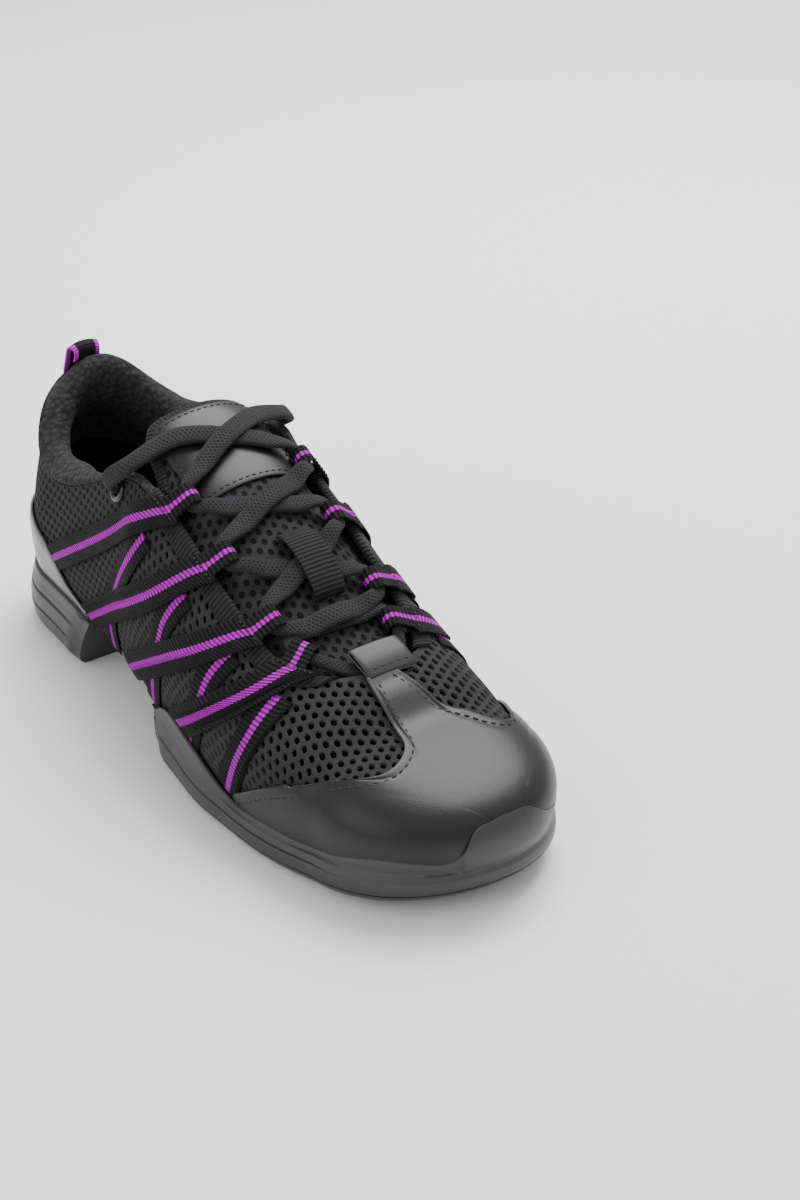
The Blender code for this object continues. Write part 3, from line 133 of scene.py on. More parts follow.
# Collar edge: zone, place, half width, height outside and inside, lean, handle
COLLAR_ROWS = [
    ("side", 0.37, 0.335, 1.02, 1.04, 66, 0.34), ("side", 0.3, 0.332, 0.945, 1.0, 74, 0.34),
    ("side", 0.21, 0.33, 0.835, 0.94, 80, 0.34), ("side", 0.118, 0.318, 0.78, 0.89, 82, 0.34),
    ("heel", 110, 0.308, 0.82, 0.905, 82, 0.34), ("heel", 140, 0.29, 0.945, 0.98, 78, 0.34),
    ("heel", 180, 0.265, 1.035, 1.035, 74, 0.34),
]
# Line of the last in plan: share of the last, share of ball width
CENTRE_ROWS = [
    (0.0, 0.0), (0.25, 0.0), (0.45, 0.024), (0.52, 0.019), (0.62, 0.014), (0.72, 0.022),
    (0.8, 0.042), (0.855, 0.058), (1.0, 0.075),
]
# Tongue: share of the last, outer and inner half width
TONGUE_ROWS = [
    (0.79, 0.15, 0.135), (0.765, 0.24, 0.205), (0.73, 0.34, 0.268), (0.68, 0.39, 0.305),
    (0.61, 0.405, 0.322), (0.52, 0.41, 0.328), (0.44, 0.385, 0.33), (0.385, 0.32, 0.3),
    (0.35, 0.29, 0.28), (0.33, 0.235, 0.235),
]
# Top rim of the forepart unit: side, zone, place, rise in millimetres
FORE_RIM_ROWS = [
    (-1, "side", 0.475, 0.3), (-1, "side", 0.494, 3.4), (-1, "side", 0.52, 6.7),
    (-1, "side", 0.551, 10.2), (-1, "side", 0.592, 11.0), (-1, "side", 0.626, 9.8),
    (-1, "side", 0.653, 6.0), (-1, "side", 0.679, 2.0), (-1, "side", 0.76, 2.0),
    (-1, "toe", 82, 3.0), (-1, "toe", 68, 5.6), (-1, "toe", 56, 6.4), (-1, "toe", 43, 5.6),
    (-1, "toe", 30, 4.8), (-1, "toe", 27, 5.6), (-1, "toe", 20, 12.4), (-1, "toe", 10, 14.2),
    (1, "toe", 3, 14.6), (1, "toe", 11, 14.0), (1, "toe", 20, 10.4), (1, "toe", 34, 7.4),
    (1, "toe", 60, 4.6), (1, "side", 0.76, 2.4), (1, "side", 0.679, 3.0), (1, "side", 0.653, 6.0),
    (1, "side", 0.61, 9.0), (1, "side", 0.551, 9.0), (1, "side", 0.505, 4.5),
    (1, "side", 0.475, 0.3),
]
# Top edge of the heel cup: zone, place, rise
CUP_ROWS = [
    ("side", 0.256, 0.034), ("side", 0.223, 0.054), ("side", 0.193, 0.082), ("side", 0.166, 0.133),
    ("side", 0.134, 0.186), ("heel", 105, 0.232), ("heel", 140, 0.256), ("heel", 180, 0.266),
]
# Straps: number, then share and rise at the sole, halfway, and share at the edge
STRAP_ROWS = [
    (1, 0.14, 0.13, 0.316, 0.465, 0.458), (2, 0.245, 0.0, 0.469, 0.457, 0.551),
    (3, 0.39, 0.0, 0.587, 0.444, 0.65), (4, 0.56, 0.09, 0.684, 0.414, 0.715),
]
# Zigzag ribbons: number, then share and rise pairs
RIBBON_ROWS = [
    (1, 0.44, 0.66, 0.413, 0.506, 0.372, 0.334, 0.34, 0.16, 0.338, -0.01),
    (2, 0.545, 0.6, 0.525, 0.459, 0.517, 0.346, 0.496, 0.16, 0.474, -0.01),
    (3, 0.645, 0.55, 0.635, 0.439, 0.63, 0.344, 0.618, 0.2, 0.6, 0.08),
    (4, 0.728, 0.5, 0.727, 0.4, 0.722, 0.294, 0.706, 0.16, 0.686, 0.04),
]
# Where the collar's knit is sewn to the mesh: zone, place, distance below the rim
SEAM_ROWS = [
    ("side", 0.43, 0.0022), ("side", 0.35, 0.0018), ("side", 0.3, 0.0018), ("side", 0.25, 0.0026),
    ("side", 0.19, 0.004), ("side", 0.118, 0.0034), ("heel", 110, 0.002), ("heel", 140, 0.0015),
    ("heel", 180, 0.0015),
]
# Toe cap's top edge: side, distance round the toe, rise
CAP_ROWS = [
    (-1, 2.61, 0.058), (-1, 2.39, 0.12), (-1, 2.11, 0.189), (-1, 1.92, 0.221), (-1, 1.73, 0.256),
    (-1, 1.54, 0.294), (-1, 1.38, 0.334), (-1, 1.235, 0.376), (-1, 1.19, 0.425),
    (-1, 1.215, 0.478), (-1, 1.33, 0.53), (-1, 1.595, 0.579), (-1, 1.838, 0.651),
    (-1, 2.14, 0.735), (1, 2.14, 0.748), (1, 1.9, 0.654), (1, 1.69, 0.56), (1, 1.5, 0.468),
    (1, 1.3, 0.4), (1, 1.29, 0.335), (1, 1.42, 0.29), (1, 1.62, 0.262), (1, 1.9, 0.225),
    (1, 2.3, 0.15), (1, 2.6, 0.075),
]


def smooth(xs: Sequence[float], ys: Sequence[float], at: Array) -> Array:
    """Catmull-Rom through uneven knots, flat at both ends.

    Args:
        xs: Places of the knots.
        ys: Values at the knots.
        at: Places to read.

    Returns:
        The values there.
    """
    xs, ys, at = (np.asarray(k, float) for k in (xs, ys, at))
    step = np.diff(xs)
    slope = np.diff(ys) / step
    m = np.zeros_like(ys)
    m[1:-1] = (slope[:-1] * step[1:] + slope[1:] * step[:-1]) / (step[:-1] + step[1:])
    i = np.clip(np.searchsorted(xs, at, side="right") - 1, 0, len(xs) - 2)
    t = np.clip((at - xs[i]) / step[i], 0.0, 1.0)
    return (
        (2 * t**3 - 3 * t**2 + 1) * ys[i]
        + (t**3 - 2 * t**2 + t) * step[i] * m[i]
        + (3 * t**2 - 2 * t**3) * ys[i + 1]
        + (t**3 - t**2) * step[i] * m[i + 1]
    )


def step01(x: Array | float, lo: float, hi: float) -> Array:
    """Smooth step from 0 at lo to 1 at hi."""
    t = np.clip((np.asarray(x, float) - lo) / (hi - lo), 0, 1)
    return t * t * (3 - 2 * t)


def unit(v: Array) -> Array:
    """Vectors brought to length one along their last axis."""
    return v / np.maximum(np.linalg.norm(v, axis=-1, keepdims=True), 1e-12)


def bezier(p: Sequence[Array], t: Array) -> Array:
    """Point of a cubic with control points p at t.

    Args:
        p: Control points of the section.
        t: Places on it, from 0 to 1.

    Returns:
        The points.
    """
    p0, p1, p2, p3 = p
    t = t[..., None]
    u = 1 - t
    return u**3 * p0 + 3 * u * u * t * p1 + 3 * u * t * t * p2 + t**3 * p3


def arc(points: Array) -> Array:
    """Length run along a line of points, from zero."""
    return np.append(0, np.linalg.norm(np.diff(points, axis=0), axis=1).cumsum())


def refine(run: Array, points: Array, at: Array) -> Array:
    """Smooth line through points whose lengths run are given, read at other lengths."""
    return np.stack([smooth(run, column, at) for column in points.T], -1)


def both_sides(q: Array) -> Array:
    """Stations from one end round the toe to the other, mirrored about zero."""
    return np.concatenate([-q[::-1], q[1:]])


def round_heel(q: Array) -> Array:
    """Stations from one side round the heel to the other."""
    return np.concatenate([q, -q[-2::-1]])


def evenly(*parts: object) -> Array:
    """Numbers and arrays joined in rising order, without repeats."""
    return np.unique(np.round(np.concatenate([np.atleast_1d(p) for p in parts]), 6))


def cap_open_ends(bm: BMesh) -> None:
    """Close a mesh's open ends with a face each."""
    bmesh.ops.holes_fill(bm, edges=[e for e in bm.edges if e.is_boundary], sides=0)


@dataclass(frozen=True)
class Last:
    """The last that every piece lies on, with its sizes in metres."""

    sole_length: float = 0.2680
    length: float = 0.2565
    heel_set: float = 0.0045
    ball: float = 0.0880
    instep: float = 0.0900
    heel_height: float = 0.0240
    wall: float = 0.0020
    toe_radius: float = 0.0370
    heel_radius: float = 0.0300
    toe_pivot: float = 0.855
    heel_pivot: float = 0.118
    throat: float = 0.768
    throat_top: float = 0.420
    steps: int = 33
    halvings: int = 26
    toe_spring: float = 0.0085
    arch_lift: float = 0.0035
    tongue_sunk: float = 0.0050
    fore_rear: float = 0.475
    heel_front: float = 0.262
    fade: float = 0.012

    @property
    def back(self) -> float:
        """Rearmost place of the last."""
        return -self.sole_length / 2 + self.heel_set

    @property
    def q_toe(self) -> float:
        """Distance from the toe to the end of the toe's round."""
        return self.toe_radius * math.pi / 2

    @property
    def q_side(self) -> float:
        """Distance from the toe to the start of the heel's round."""
        return self.q_toe + (self.toe_pivot - self.heel_pivot) * self.length

    @property
    def q_end(self) -> float:
        """Distance from the toe to the middle of the heel."""
        return self.q_side + self.heel_radius * math.pi / 2

    def q_of(self, zone: str, place: float) -> float:
        """Distance round the last from the toe for a row of a table.

        Args:
            zone: Toe, side or heel.
            place: Degrees in the rounds, a share on the side.

        Returns:
            The distance.
        """
        if zone == "toe":
            return math.radians(place) * self.toe_radius
        if zone == "side":
            return self.q_toe + (self.toe_pivot - place) * self.length
        return self.q_side + math.radians(place - 90) * self.heel_radius

    def share_q(self, share: float | Array) -> float | Array:
        """Distance from the toe of a share of the last."""
        return self.q_of("side", share)

    @property
    def q_throat(self) -> float:
        """Distance from the toe of the throat's front."""
        return self.share_q(self.throat)

    @property
    def q_join(self) -> float:
        """Distance from the toe of the throat's top."""
        return self.share_q(self.throat_top)

    def column(self, rows: list, n: int, q: Array) -> Array:
        """Column n of a table of zones and places, read at q."""
        return smooth([self.q_of(r[0], r[1]) for r in rows], [r[n] for r in rows], q)

    def foot_of(self, side: Array, q: Array) -> Arrays:
        """Half width, height, wall angle and handle at the featherline.

        Args:
            side: Outer or inner side, -1 or 1.
            q: Distances round the last from the toe.

        Returns:
            The four values at each station.
        """
        outer, inner = (self.column(LAST_ROWS, n, q) for n in (2, 3))
        return (
            np.where(side < 0, outer, inner) * self.ball,
            self.column(LAST_ROWS, 4, q) * self.heel_height,
            np.radians(self.column(LAST_ROWS, 5, q)),
            self.column(LAST_ROWS, 6, q),
        )

    def closed_profile(self, side: Array, q: Array) -> Arrays:
        """Control points of the half section that runs up to the crest.

        Args:
            side: Outer or inner side, -1 or 1.
            q: Distances round the last from the toe.

        Returns:
            The four points.
        """
        r, z, low, b0 = self.foot_of(side, q)
        qc = np.maximum(q, self.q_toe)
        crest = self.column(CREST_ROWS, 2, qc) * self.instep
        b1 = self.column(CREST_ROWS, 3, qc)
        run = self.q_of(*CREST_ROWS[1][:2]) - self.q_of(*CREST_ROWS[0][:2])
        slope = (CREST_ROWS[1][2] - CREST_ROWS[0][2]) * self.instep / run
        turn = np.clip(q / self.toe_radius, 0, math.pi / 2)
        lean = np.where(q < self.q_toe, np.arctan(0.8 * slope * np.cos(turn)), 0.0)
        size = np.hypot(r, crest - z)[..., None]
        p0 = np.stack([r, z], -1)
        p3 = np.stack([np.zeros_like(r), crest], -1)
        p1 = p0 + size * b0[..., None] * np.stack([np.cos(low), np.sin(low)], -1)
        p2 = p3 + size * b1[..., None] * np.stack([np.cos(-lean), np.sin(-lean)], -1)
        return p0, p1, p2, p3

    def reach(self, p: Sequence[Array], r: Array, start: float) -> Array:
        """Place on a half section where it is r from the middle, by halving.

        Args:
            p: Control points of the section.
            r: Distances from the middle.
            start: Lowest place that is tried.

        Returns:
            The places, from start to 1.
        """
        lo, hi = np.full(r.shape, start), np.ones(r.shape)
        for _ in range(self.halvings):
            mid = (lo + hi) / 2
            above = bezier(p, mid)[..., 0] > r
            lo, hi = np.where(above, mid, lo), np.where(above, hi, mid)
        return (lo + hi) / 2

    def cut_profile(self, p: Sequence[Array], r_cut: Array) -> Arrays:
        """Shorten a half section to the place where it is r_cut from the middle.

        Args:
            p: Control points of the section.
            r_cut: Distance from the middle.

        Returns:
            The four points of the shorter section.
        """
        t = np.where(r_cut > 1e-7, self.reach(p, r_cut, 0.45), 1.0)[..., None]
        p0, p1, p2, p3 = p
        a, b, c = p0 + (p1 - p0) * t, p1 + (p2 - p1) * t, p2 + (p3 - p2) * t
        d, e = a + (b - a) * t, b + (c - b) * t
        return p0, a, d, d + (e - d) * t

    def throat_half(self, side: Array, q: Array) -> Array:
        """Half width of the throat on the outer or inner side.

        Args:
            side: Outer or inner side, -1 or 1.
            q: Distances round the last from the toe.

        Returns:
            The half widths.
        """
        knots = [self.share_q(r[0]) for r in THROAT_ROWS]
        outer, inner = (smooth(knots, [r[n] for r in THROAT_ROWS], q) for n in (1, 2))
        return np.where(side < 0, outer, inner) * self.ball

    @functools.cached_property
    def collar_table(self) -> dict[float, Array]:
        """Rows of the collar edge on each side, led by the throat's top section.

        Returns:
            For each side, the five columns of the edge.
        """
        made = {}
        for side in (OUTER, INNER):
            q = np.array([self.q_join])
            cut = self.cut_profile(
                self.closed_profile(np.array([side]), q), self.throat_half(np.array([side]), q)
            )
            p0, p1, p2, p3 = cut
            size = np.linalg.norm(p3 - p0)
            way = (p2 - p3)[0]
            rows = [[
                p3[0, 0],
                p3[0, 1],
                math.atan2(-way[1], way[0]),
                float(np.linalg.norm(way) / size),
                float(np.linalg.norm(p1 - p0) / size),
            ]]
            for zone, place, half, high_out, high_in, lean, b1 in COLLAR_ROWS:
                b0 = float(self.column(LAST_ROWS, 6, np.array(self.q_of(zone, place))))
                high = high_out if side < 0 else high_in
                rows.append([half * self.ball, high * self.instep, math.radians(lean), b1, b0])
            made[side] = np.array(rows).T
        return made

    def profile(self, side: Array, q: Array) -> Arrays:
        """Half section from the featherline to the crest, throat edge or collar.

        Args:
            side: Outer or inner side, -1 or 1.
            q: Distances round the last from the toe.

        Returns:
            The four points.
        """
        front = self.closed_profile(side, np.minimum(q, self.q_join))
        front = self.cut_profile(front, self.throat_half(side, q))
        r, z, low, _ = self.foot_of(side, q)
        knots = [self.q_join] + [self.q_of(k[0], k[1]) for k in COLLAR_ROWS]
        col = []
        for n in range(5):
            out, inn = (smooth(knots, self.collar_table[s][n], q) for s in (OUTER, INNER))
            col.append(np.where(side < 0, out, inn))
        rt, zt, lean, b1, b0 = col
        size = np.hypot(r - rt, zt - z)[..., None]
        p0 = np.stack([r, z], -1)
        p3 = np.stack([rt, zt], -1)
        p1 = p0 + size * b0[..., None] * np.stack([np.cos(low), np.sin(low)], -1)
        p2 = p3 + size * b1[..., None] * np.stack([np.cos(-lean), np.sin(-lean)], -1)
        behind = (q > self.q_join)[..., None]
        return tuple(np.where(behind, k, f) for k, f in zip((p0, p1, p2, p3), front))

    def middle(self, share: Array | float) -> Array:
        """Sideways place of the last's line at a share of its length."""
        xs, ys = zip(*CENTRE_ROWS)
        return smooth(xs, ys, share) * self.ball

    def place_of(self, g: Array) -> Arrays:
        """Side, distance from the toe, spine point and outward turn of a station.

        Args:
            g: Stations round the last.

        Returns:
            The five values at each station.
        """
        q = np.clip(np.abs(g), 0, self.q_end)
        side = np.where(g < 0, OUTER, INNER)
        x_toe = self.back + self.toe_pivot * self.length
        x_heel = self.back + self.heel_pivot * self.length
        x = np.clip(x_toe - (q - self.q_toe), x_heel, x_toe)
        y = self.middle((x - self.back) / self.length)
        heel_turn = math.pi / 2 + (q - self.q_side) / self.heel_radius
        turn = np.where(q < self.q_side, math.pi / 2, heel_turn)
        turn = np.where(q < self.q_toe, q / self.toe_radius, turn)
        return side, q, x, y, turn

    def sections(self, side: Array, q: Array, closed: bool = False) -> tuple:
        """Control points of the sections and the length run along each.

        Args:
            side: Outer or inner side, -1 or 1.
            q: Distances round the last from the toe.
            closed: Whether the throat is taken as closed.

        Returns:
            Control points, and lengths at even steps.
        """
        p = self.closed_profile(side, q) if closed else self.profile(side, q)
        t = np.linspace(0, 1, self.steps)
        wide = tuple(k[..., None, :] for k in p)
        pts = bezier(wide, np.broadcast_to(t, q.shape + t.shape))
        seg = np.linalg.norm(np.diff(pts, axis=-2), axis=-1)
        return p, np.concatenate([np.zeros(q.shape + (1,)), np.cumsum(seg, -1)], -1)

    def wall_length(self, g: Array) -> Array:
        """Length of the wall from featherline to its top at stations g."""
        side, q, _, _, _ = self.place_of(np.asarray(g, float))
        return self.sections(side, q)[1][..., -1]

    def closed_length(self, q: Array, side: Array | float) -> Array:
        """Length of the wall up to the crest, as if the throat were closed."""
        q, side = np.broadcast_arrays(np.asarray(q, float), np.asarray(side, float))
        return self.sections(side, q, closed=True)[1][..., -1]

    def raw(self, g: Array, a: Array) -> Array:
        """Points on the outside of the upper.

        Args:
            g: Stations round the last.
            a: Heights up the wall.

        Returns:
            The points.
        """
        side, q, x, y, turn = self.place_of(g)
        p, run = self.sections(side, q)
        a = np.clip(a, 0, run[..., -1])
        i = np.clip((run <= a[..., None]).sum(-1) - 1, 0, self.steps - 2)
        low = np.take_along_axis(run, i[..., None], -1)[..., 0]
        top = np.take_along_axis(run, i[..., None] + 1, -1)[..., 0]
        rz = bezier(p, (i + (a - low) / np.maximum(top - low, 1e-12)) / (self.steps - 1))
        out = rz[..., 0]
        return np.stack([x + out * np.cos(turn), y + side * out * np.sin(turn), rz[..., 1]], -1)

    def normal(self, g: Array, a: Array) -> Array:
        """Outward normals of the upper.

        Args:
            g: Stations round the last.
            a: Heights up the wall.

        Returns:
            The normals.
        """
        g, a = np.broadcast_arrays(np.asarray(g, float), np.asarray(a, float))
        e = 0.0012
        full = self.wall_length(g)
        mid = np.minimum(a, np.where(np.abs(g) < self.q_throat, full - 0.0015, full))
        along = self.raw(g + e, mid) - self.raw(g - e, mid)
        up = self.raw(g, np.minimum(mid + e, full)) - self.raw(g, np.maximum(mid - e, 0))
        n = unit(np.cross(along, up))
        side, _, _, _, turn = self.place_of(g)
        out = np.stack([np.cos(turn), side * np.sin(turn), np.full_like(turn, 0.3)], -1)
        return n * np.where((n * out).sum(-1, keepdims=True) < 0, -1.0, 1.0)

    def surf(self, g: Array, a: Array, lift: Array | float = 0.0) -> Array:
        """Points on the outside of the upper, lifted along its normal.

        Args:
            g: Stations round the last.
            a: Heights up the wall.
            lift: Distance outwards.

        Returns:
            The points, one for each station.
        """
        g, a, lift = np.broadcast_arrays(*(np.asarray(k, float) for k in (g, a, lift)))
        base = self.raw(g, a)
        if not np.any(lift):
            return base
        return base + self.normal(g, a) * lift[..., None]

    def ground(self, x: Array) -> Array:
        """Height of the underside: flat between the rockers, sprung at the toe.

        Args:
            x: Places along the shoe.

        Returns:
            The heights.
        """
        share = (x - self.back) / self.length
        toe = np.clip((share - 0.760) / (1.03 - 0.760), 0, None)
        arch = np.clip((0.515 - share) / (0.515 - 0.475), 0, 1)
        return self.toe_spring * toe**1.5 + np.where(share > 0.4, self.arch_lift * arch**1.5, 0.0)

    def beside(self, g: Array, off: Array | float, z: Array | None = None,
               share: float = 0.0) -> Array:
        """Points beside the featherline, at a height or a share of the sole's height.

        Args:
            g: Stations round the last.
            off: Distance outwards.
            z: Heights, or None for a share.
            share: Share of the sole's height.

        Returns:
            The points.
        """
        side, q, x, y, turn = self.place_of(g)
        r, zb, _, _ = self.foot_of(side, q)
        r = r + off
        px = x + r * np.cos(turn)
        if z is None:
            low = self.ground(px)
            z = low + share * (zb - low)
        return np.stack([px, y + side * r * np.sin(turn), z + 0 * px], -1)

    def feather(self, g: Array) -> Array:
        """Height of the featherline."""
        side, q, _, _, _ = self.place_of(g)
        return self.foot_of(side, q)[1]

    def rim_rise(self, g: Array) -> Array:
        """Rise of the forepart unit's rim above the featherline."""
        rows = sorted((s * self.q_of(zone, place), rise) for s, zone, place, rise in FORE_RIM_ROWS)
        return smooth([k[0] for k in rows], [k[1] for k in rows], g) / 1000

    def cup_edge(self, g: Array) -> Array:
        """Height of the heel cup's top edge, zero in front of it."""
        edge = self.column(CUP_ROWS, 2, np.abs(g)) * self.instep
        return np.where(np.abs(g) < self.q_of(*CUP_ROWS[0][:2]) - 1e-9, 0.0, edge)

    def rim_top(self, g: Array) -> Array:
        """Height up the wall that the two sole units cover.

        Args:
            g: Stations round the last.

        Returns:
            The heights.
        """
        q = np.abs(g)
        fore = self.rim_rise(g) * step01(self.share_q(self.fore_rear) - q, 0.0, self.fade)
        heel = 0.0014 * step01(q - self.share_q(self.heel_front), 0.0, self.fade)
        return np.where(q < self.share_q(0.40), fore, heel)

    def covered(self, g: Array) -> Array:
        """Lowest height up the wall where a band can show.

        Args:
            g: Stations round the last.

        Returns:
            The heights.
        """
        cap = np.zeros_like(g)
        for hand in (-1, 1):
            tail = [(r[1] * self.toe_radius, r[2] * self.instep) for r in CAP_ROWS
                    if r[0] == hand and r[2] < 0.27]
            tail = sorted(tail)
            rise = np.interp(g * hand, [t[0] for t in tail], [t[1] for t in tail])
            here = (g * hand > 0) & (g * hand < tail[-1][0] + 0.0012)
            cap = np.where(here, rise + 0.0006, cap)
        return np.maximum(np.maximum(self.rim_top(g), self.cup_edge(g)), cap)

    def develop(self, g: Array, a: Array) -> Array:
        """Lay points of the closed forepart flat about the toe's pivot.

        Args:
            g: Stations round the last.
            a: Heights up the wall.

        Returns:
            The flat points.
        """
        side = np.where(g < 0, OUTER, INNER)
        q = np.abs(g)
        rho = self.closed_length(q, side) - a
        turn = np.minimum(q / self.toe_radius, math.pi / 2)
        x = np.where(q < self.q_toe, rho * np.cos(turn), self.q_toe - q)
        y = side * rho * np.where(q < self.q_toe, np.sin(turn), 1.0)
        return np.stack([x, y], -1)

    def undevelop(self, flat: Array) -> tuple[Array, Array]:
        """Stations and heights of points laid flat, the opposite of develop.

        Args:
            flat: Points laid flat.

        Returns:
            The stations and the heights.
        """
        x, y = flat[..., 0], flat[..., 1]
        side = np.where(y < 0, OUTER, INNER)
        turn = np.arctan2(np.abs(y), x)
        q = np.where(x > 0, turn * self.toe_radius, self.q_toe - x)
        rho = np.where(x > 0, np.hypot(x, y), np.abs(y))
        length = self.closed_length(np.minimum(q, self.q_join), side)
        return side * q, length - rho

    def tongue_point(self, q: Array, across: Array, drop: Array) -> Array:
        """Points below the closed line of the last, at a signed distance from its middle.

        Args:
            q: Distances round the last from the toe.
            across: Signed distances from its middle.
            drop: Depth below the closed line.

        Returns:
            The points.
        """
        q, across, drop = np.broadcast_arrays(q, across, drop)
        side = np.where(across < 0, OUTER, INNER)
        p = self.closed_profile(side, q)
        r = np.abs(across)
        t = self.reach(p, r, 0.3)
        here = bezier(p, t)
        way = unit(bezier(p, np.maximum(t - 0.02, 0)) - bezier(p, np.minimum(t + 0.002, 1)))
        here = here - np.stack([-way[..., 1], way[..., 0]], -1) * drop[..., None]
        _, _, x, y, _ = self.place_of(np.maximum(q, self.q_toe))
        return np.stack([x, y + side * here[..., 0], here[..., 1]], -1)

    def tongue_half(self, share: Array, side: Array | float) -> Array:
        """Half width of the tongue on the outer or inner side.

        Args:
            share: Shares of the last's length.
            side: Outer or inner side, -1 or 1.

        Returns:
            The half widths.
        """
        knots = [-r[0] for r in TONGUE_ROWS]
        outer, inner = (smooth(knots, [r[n] for r in TONGUE_ROWS], -share) for n in (1, 2))
        return np.where(np.asarray(side) < 0, outer, inner) * self.ball

    def tongue_drop(self, share: Array) -> Array:
        """Distance of the tongue below the line of the last."""
        sewn = step01(share, 0.752, 0.780)
        return self.tongue_sunk + (self.wall + 0.0005 - self.tongue_sunk) * sewn

    def on_tongue(self, share: Array, across: Array, rise: Array) -> tuple:
        """Points above the tongue and its normals there.

        Args:
            share: Shares of the last's length.
            across: Signed distances from its middle.
            rise: Height above the tongue.

        Returns:
            The points and their normals.
        """
        share, across, rise = np.broadcast_arrays(
            *(np.asarray(k, float) for k in (share, across, rise)))

        def base(ds: float, da: float) -> Array:
            """A point of the tongue's face a little beside the asked one."""
            drop = self.tongue_drop(share + ds)
            return self.tongue_point(self.share_q(share + ds), across + da, drop)

        n = unit(np.cross(base(0.004, 0) - base(-0.004, 0), base(0, 0.001) - base(0, -0.001)))
        n = n * np.where(n[..., 2:] < 0, -1.0, 1.0)
        return base(0, 0) + n * rise[..., None], n

    def near_tongue(self, p: Array, rise: float) -> Array:
        """Share and distance from the middle whose place above the tongue is at p.

        Args:
            p: The point.
            rise: Height above the tongue.

        Returns:
            The share and the distance.
        """
        place = self.tongue_place(p)
        for _ in range(5):
            missed = self.tongue_place(p) - self.tongue_place(self.on_tongue(*place, rise)[0])
            place = place + missed
        return place

    def tongue_place(self, p: Array) -> Array:
        """Share of the last and signed distance from the middle of a point."""
        share = (p[0] - self.back) / self.length
        return np.array([share, p[1] - float(self.middle(share))])


LAST = Last()


class Pattern(Enum):
    """What a finish draws over its colour."""

    FIBRE = "fibre"
    PEBBLE = "pebble"
    RIBS = "ribs"
    BRAID = "braid"
    HOLES = "holes"


def linear(code: str) -> tuple[float, float, float, float]:
    """Linear colour of an sRGB hex value.

    Args:
        code: The value, such as #102030.

    Returns:
        Red, green, blue and alpha.
    """
    parts = [int(code[i:i + 2], 16) / 255 for i in (1, 3, 5)]
    parts = [c / 12.92 if c <= 0.04045 else ((c + 0.055) / 1.055) ** 2.4 for c in parts]
    return (*parts, 1.0)


def add_node(tree: NodeTree, kind: str, settings: dict, links: dict) -> Node:
    """Add a node with its settings and links.

    Args:
        tree: Tree that takes the node.
        kind: Blender's name of the node.
        settings: Attributes by name, or input values by input name or number.
        links: Output sockets by input name or number.

    Returns:
        The node.
    """
    node = tree.nodes.new(kind)
    for key, value in settings.items():
        if isinstance(key, str) and hasattr(node, key):
            setattr(node, key, value)
        else:
            node.inputs[key].default_value = value
    for key, socket in links.items():
        tree.links.new(socket, node.inputs[key])
    return node


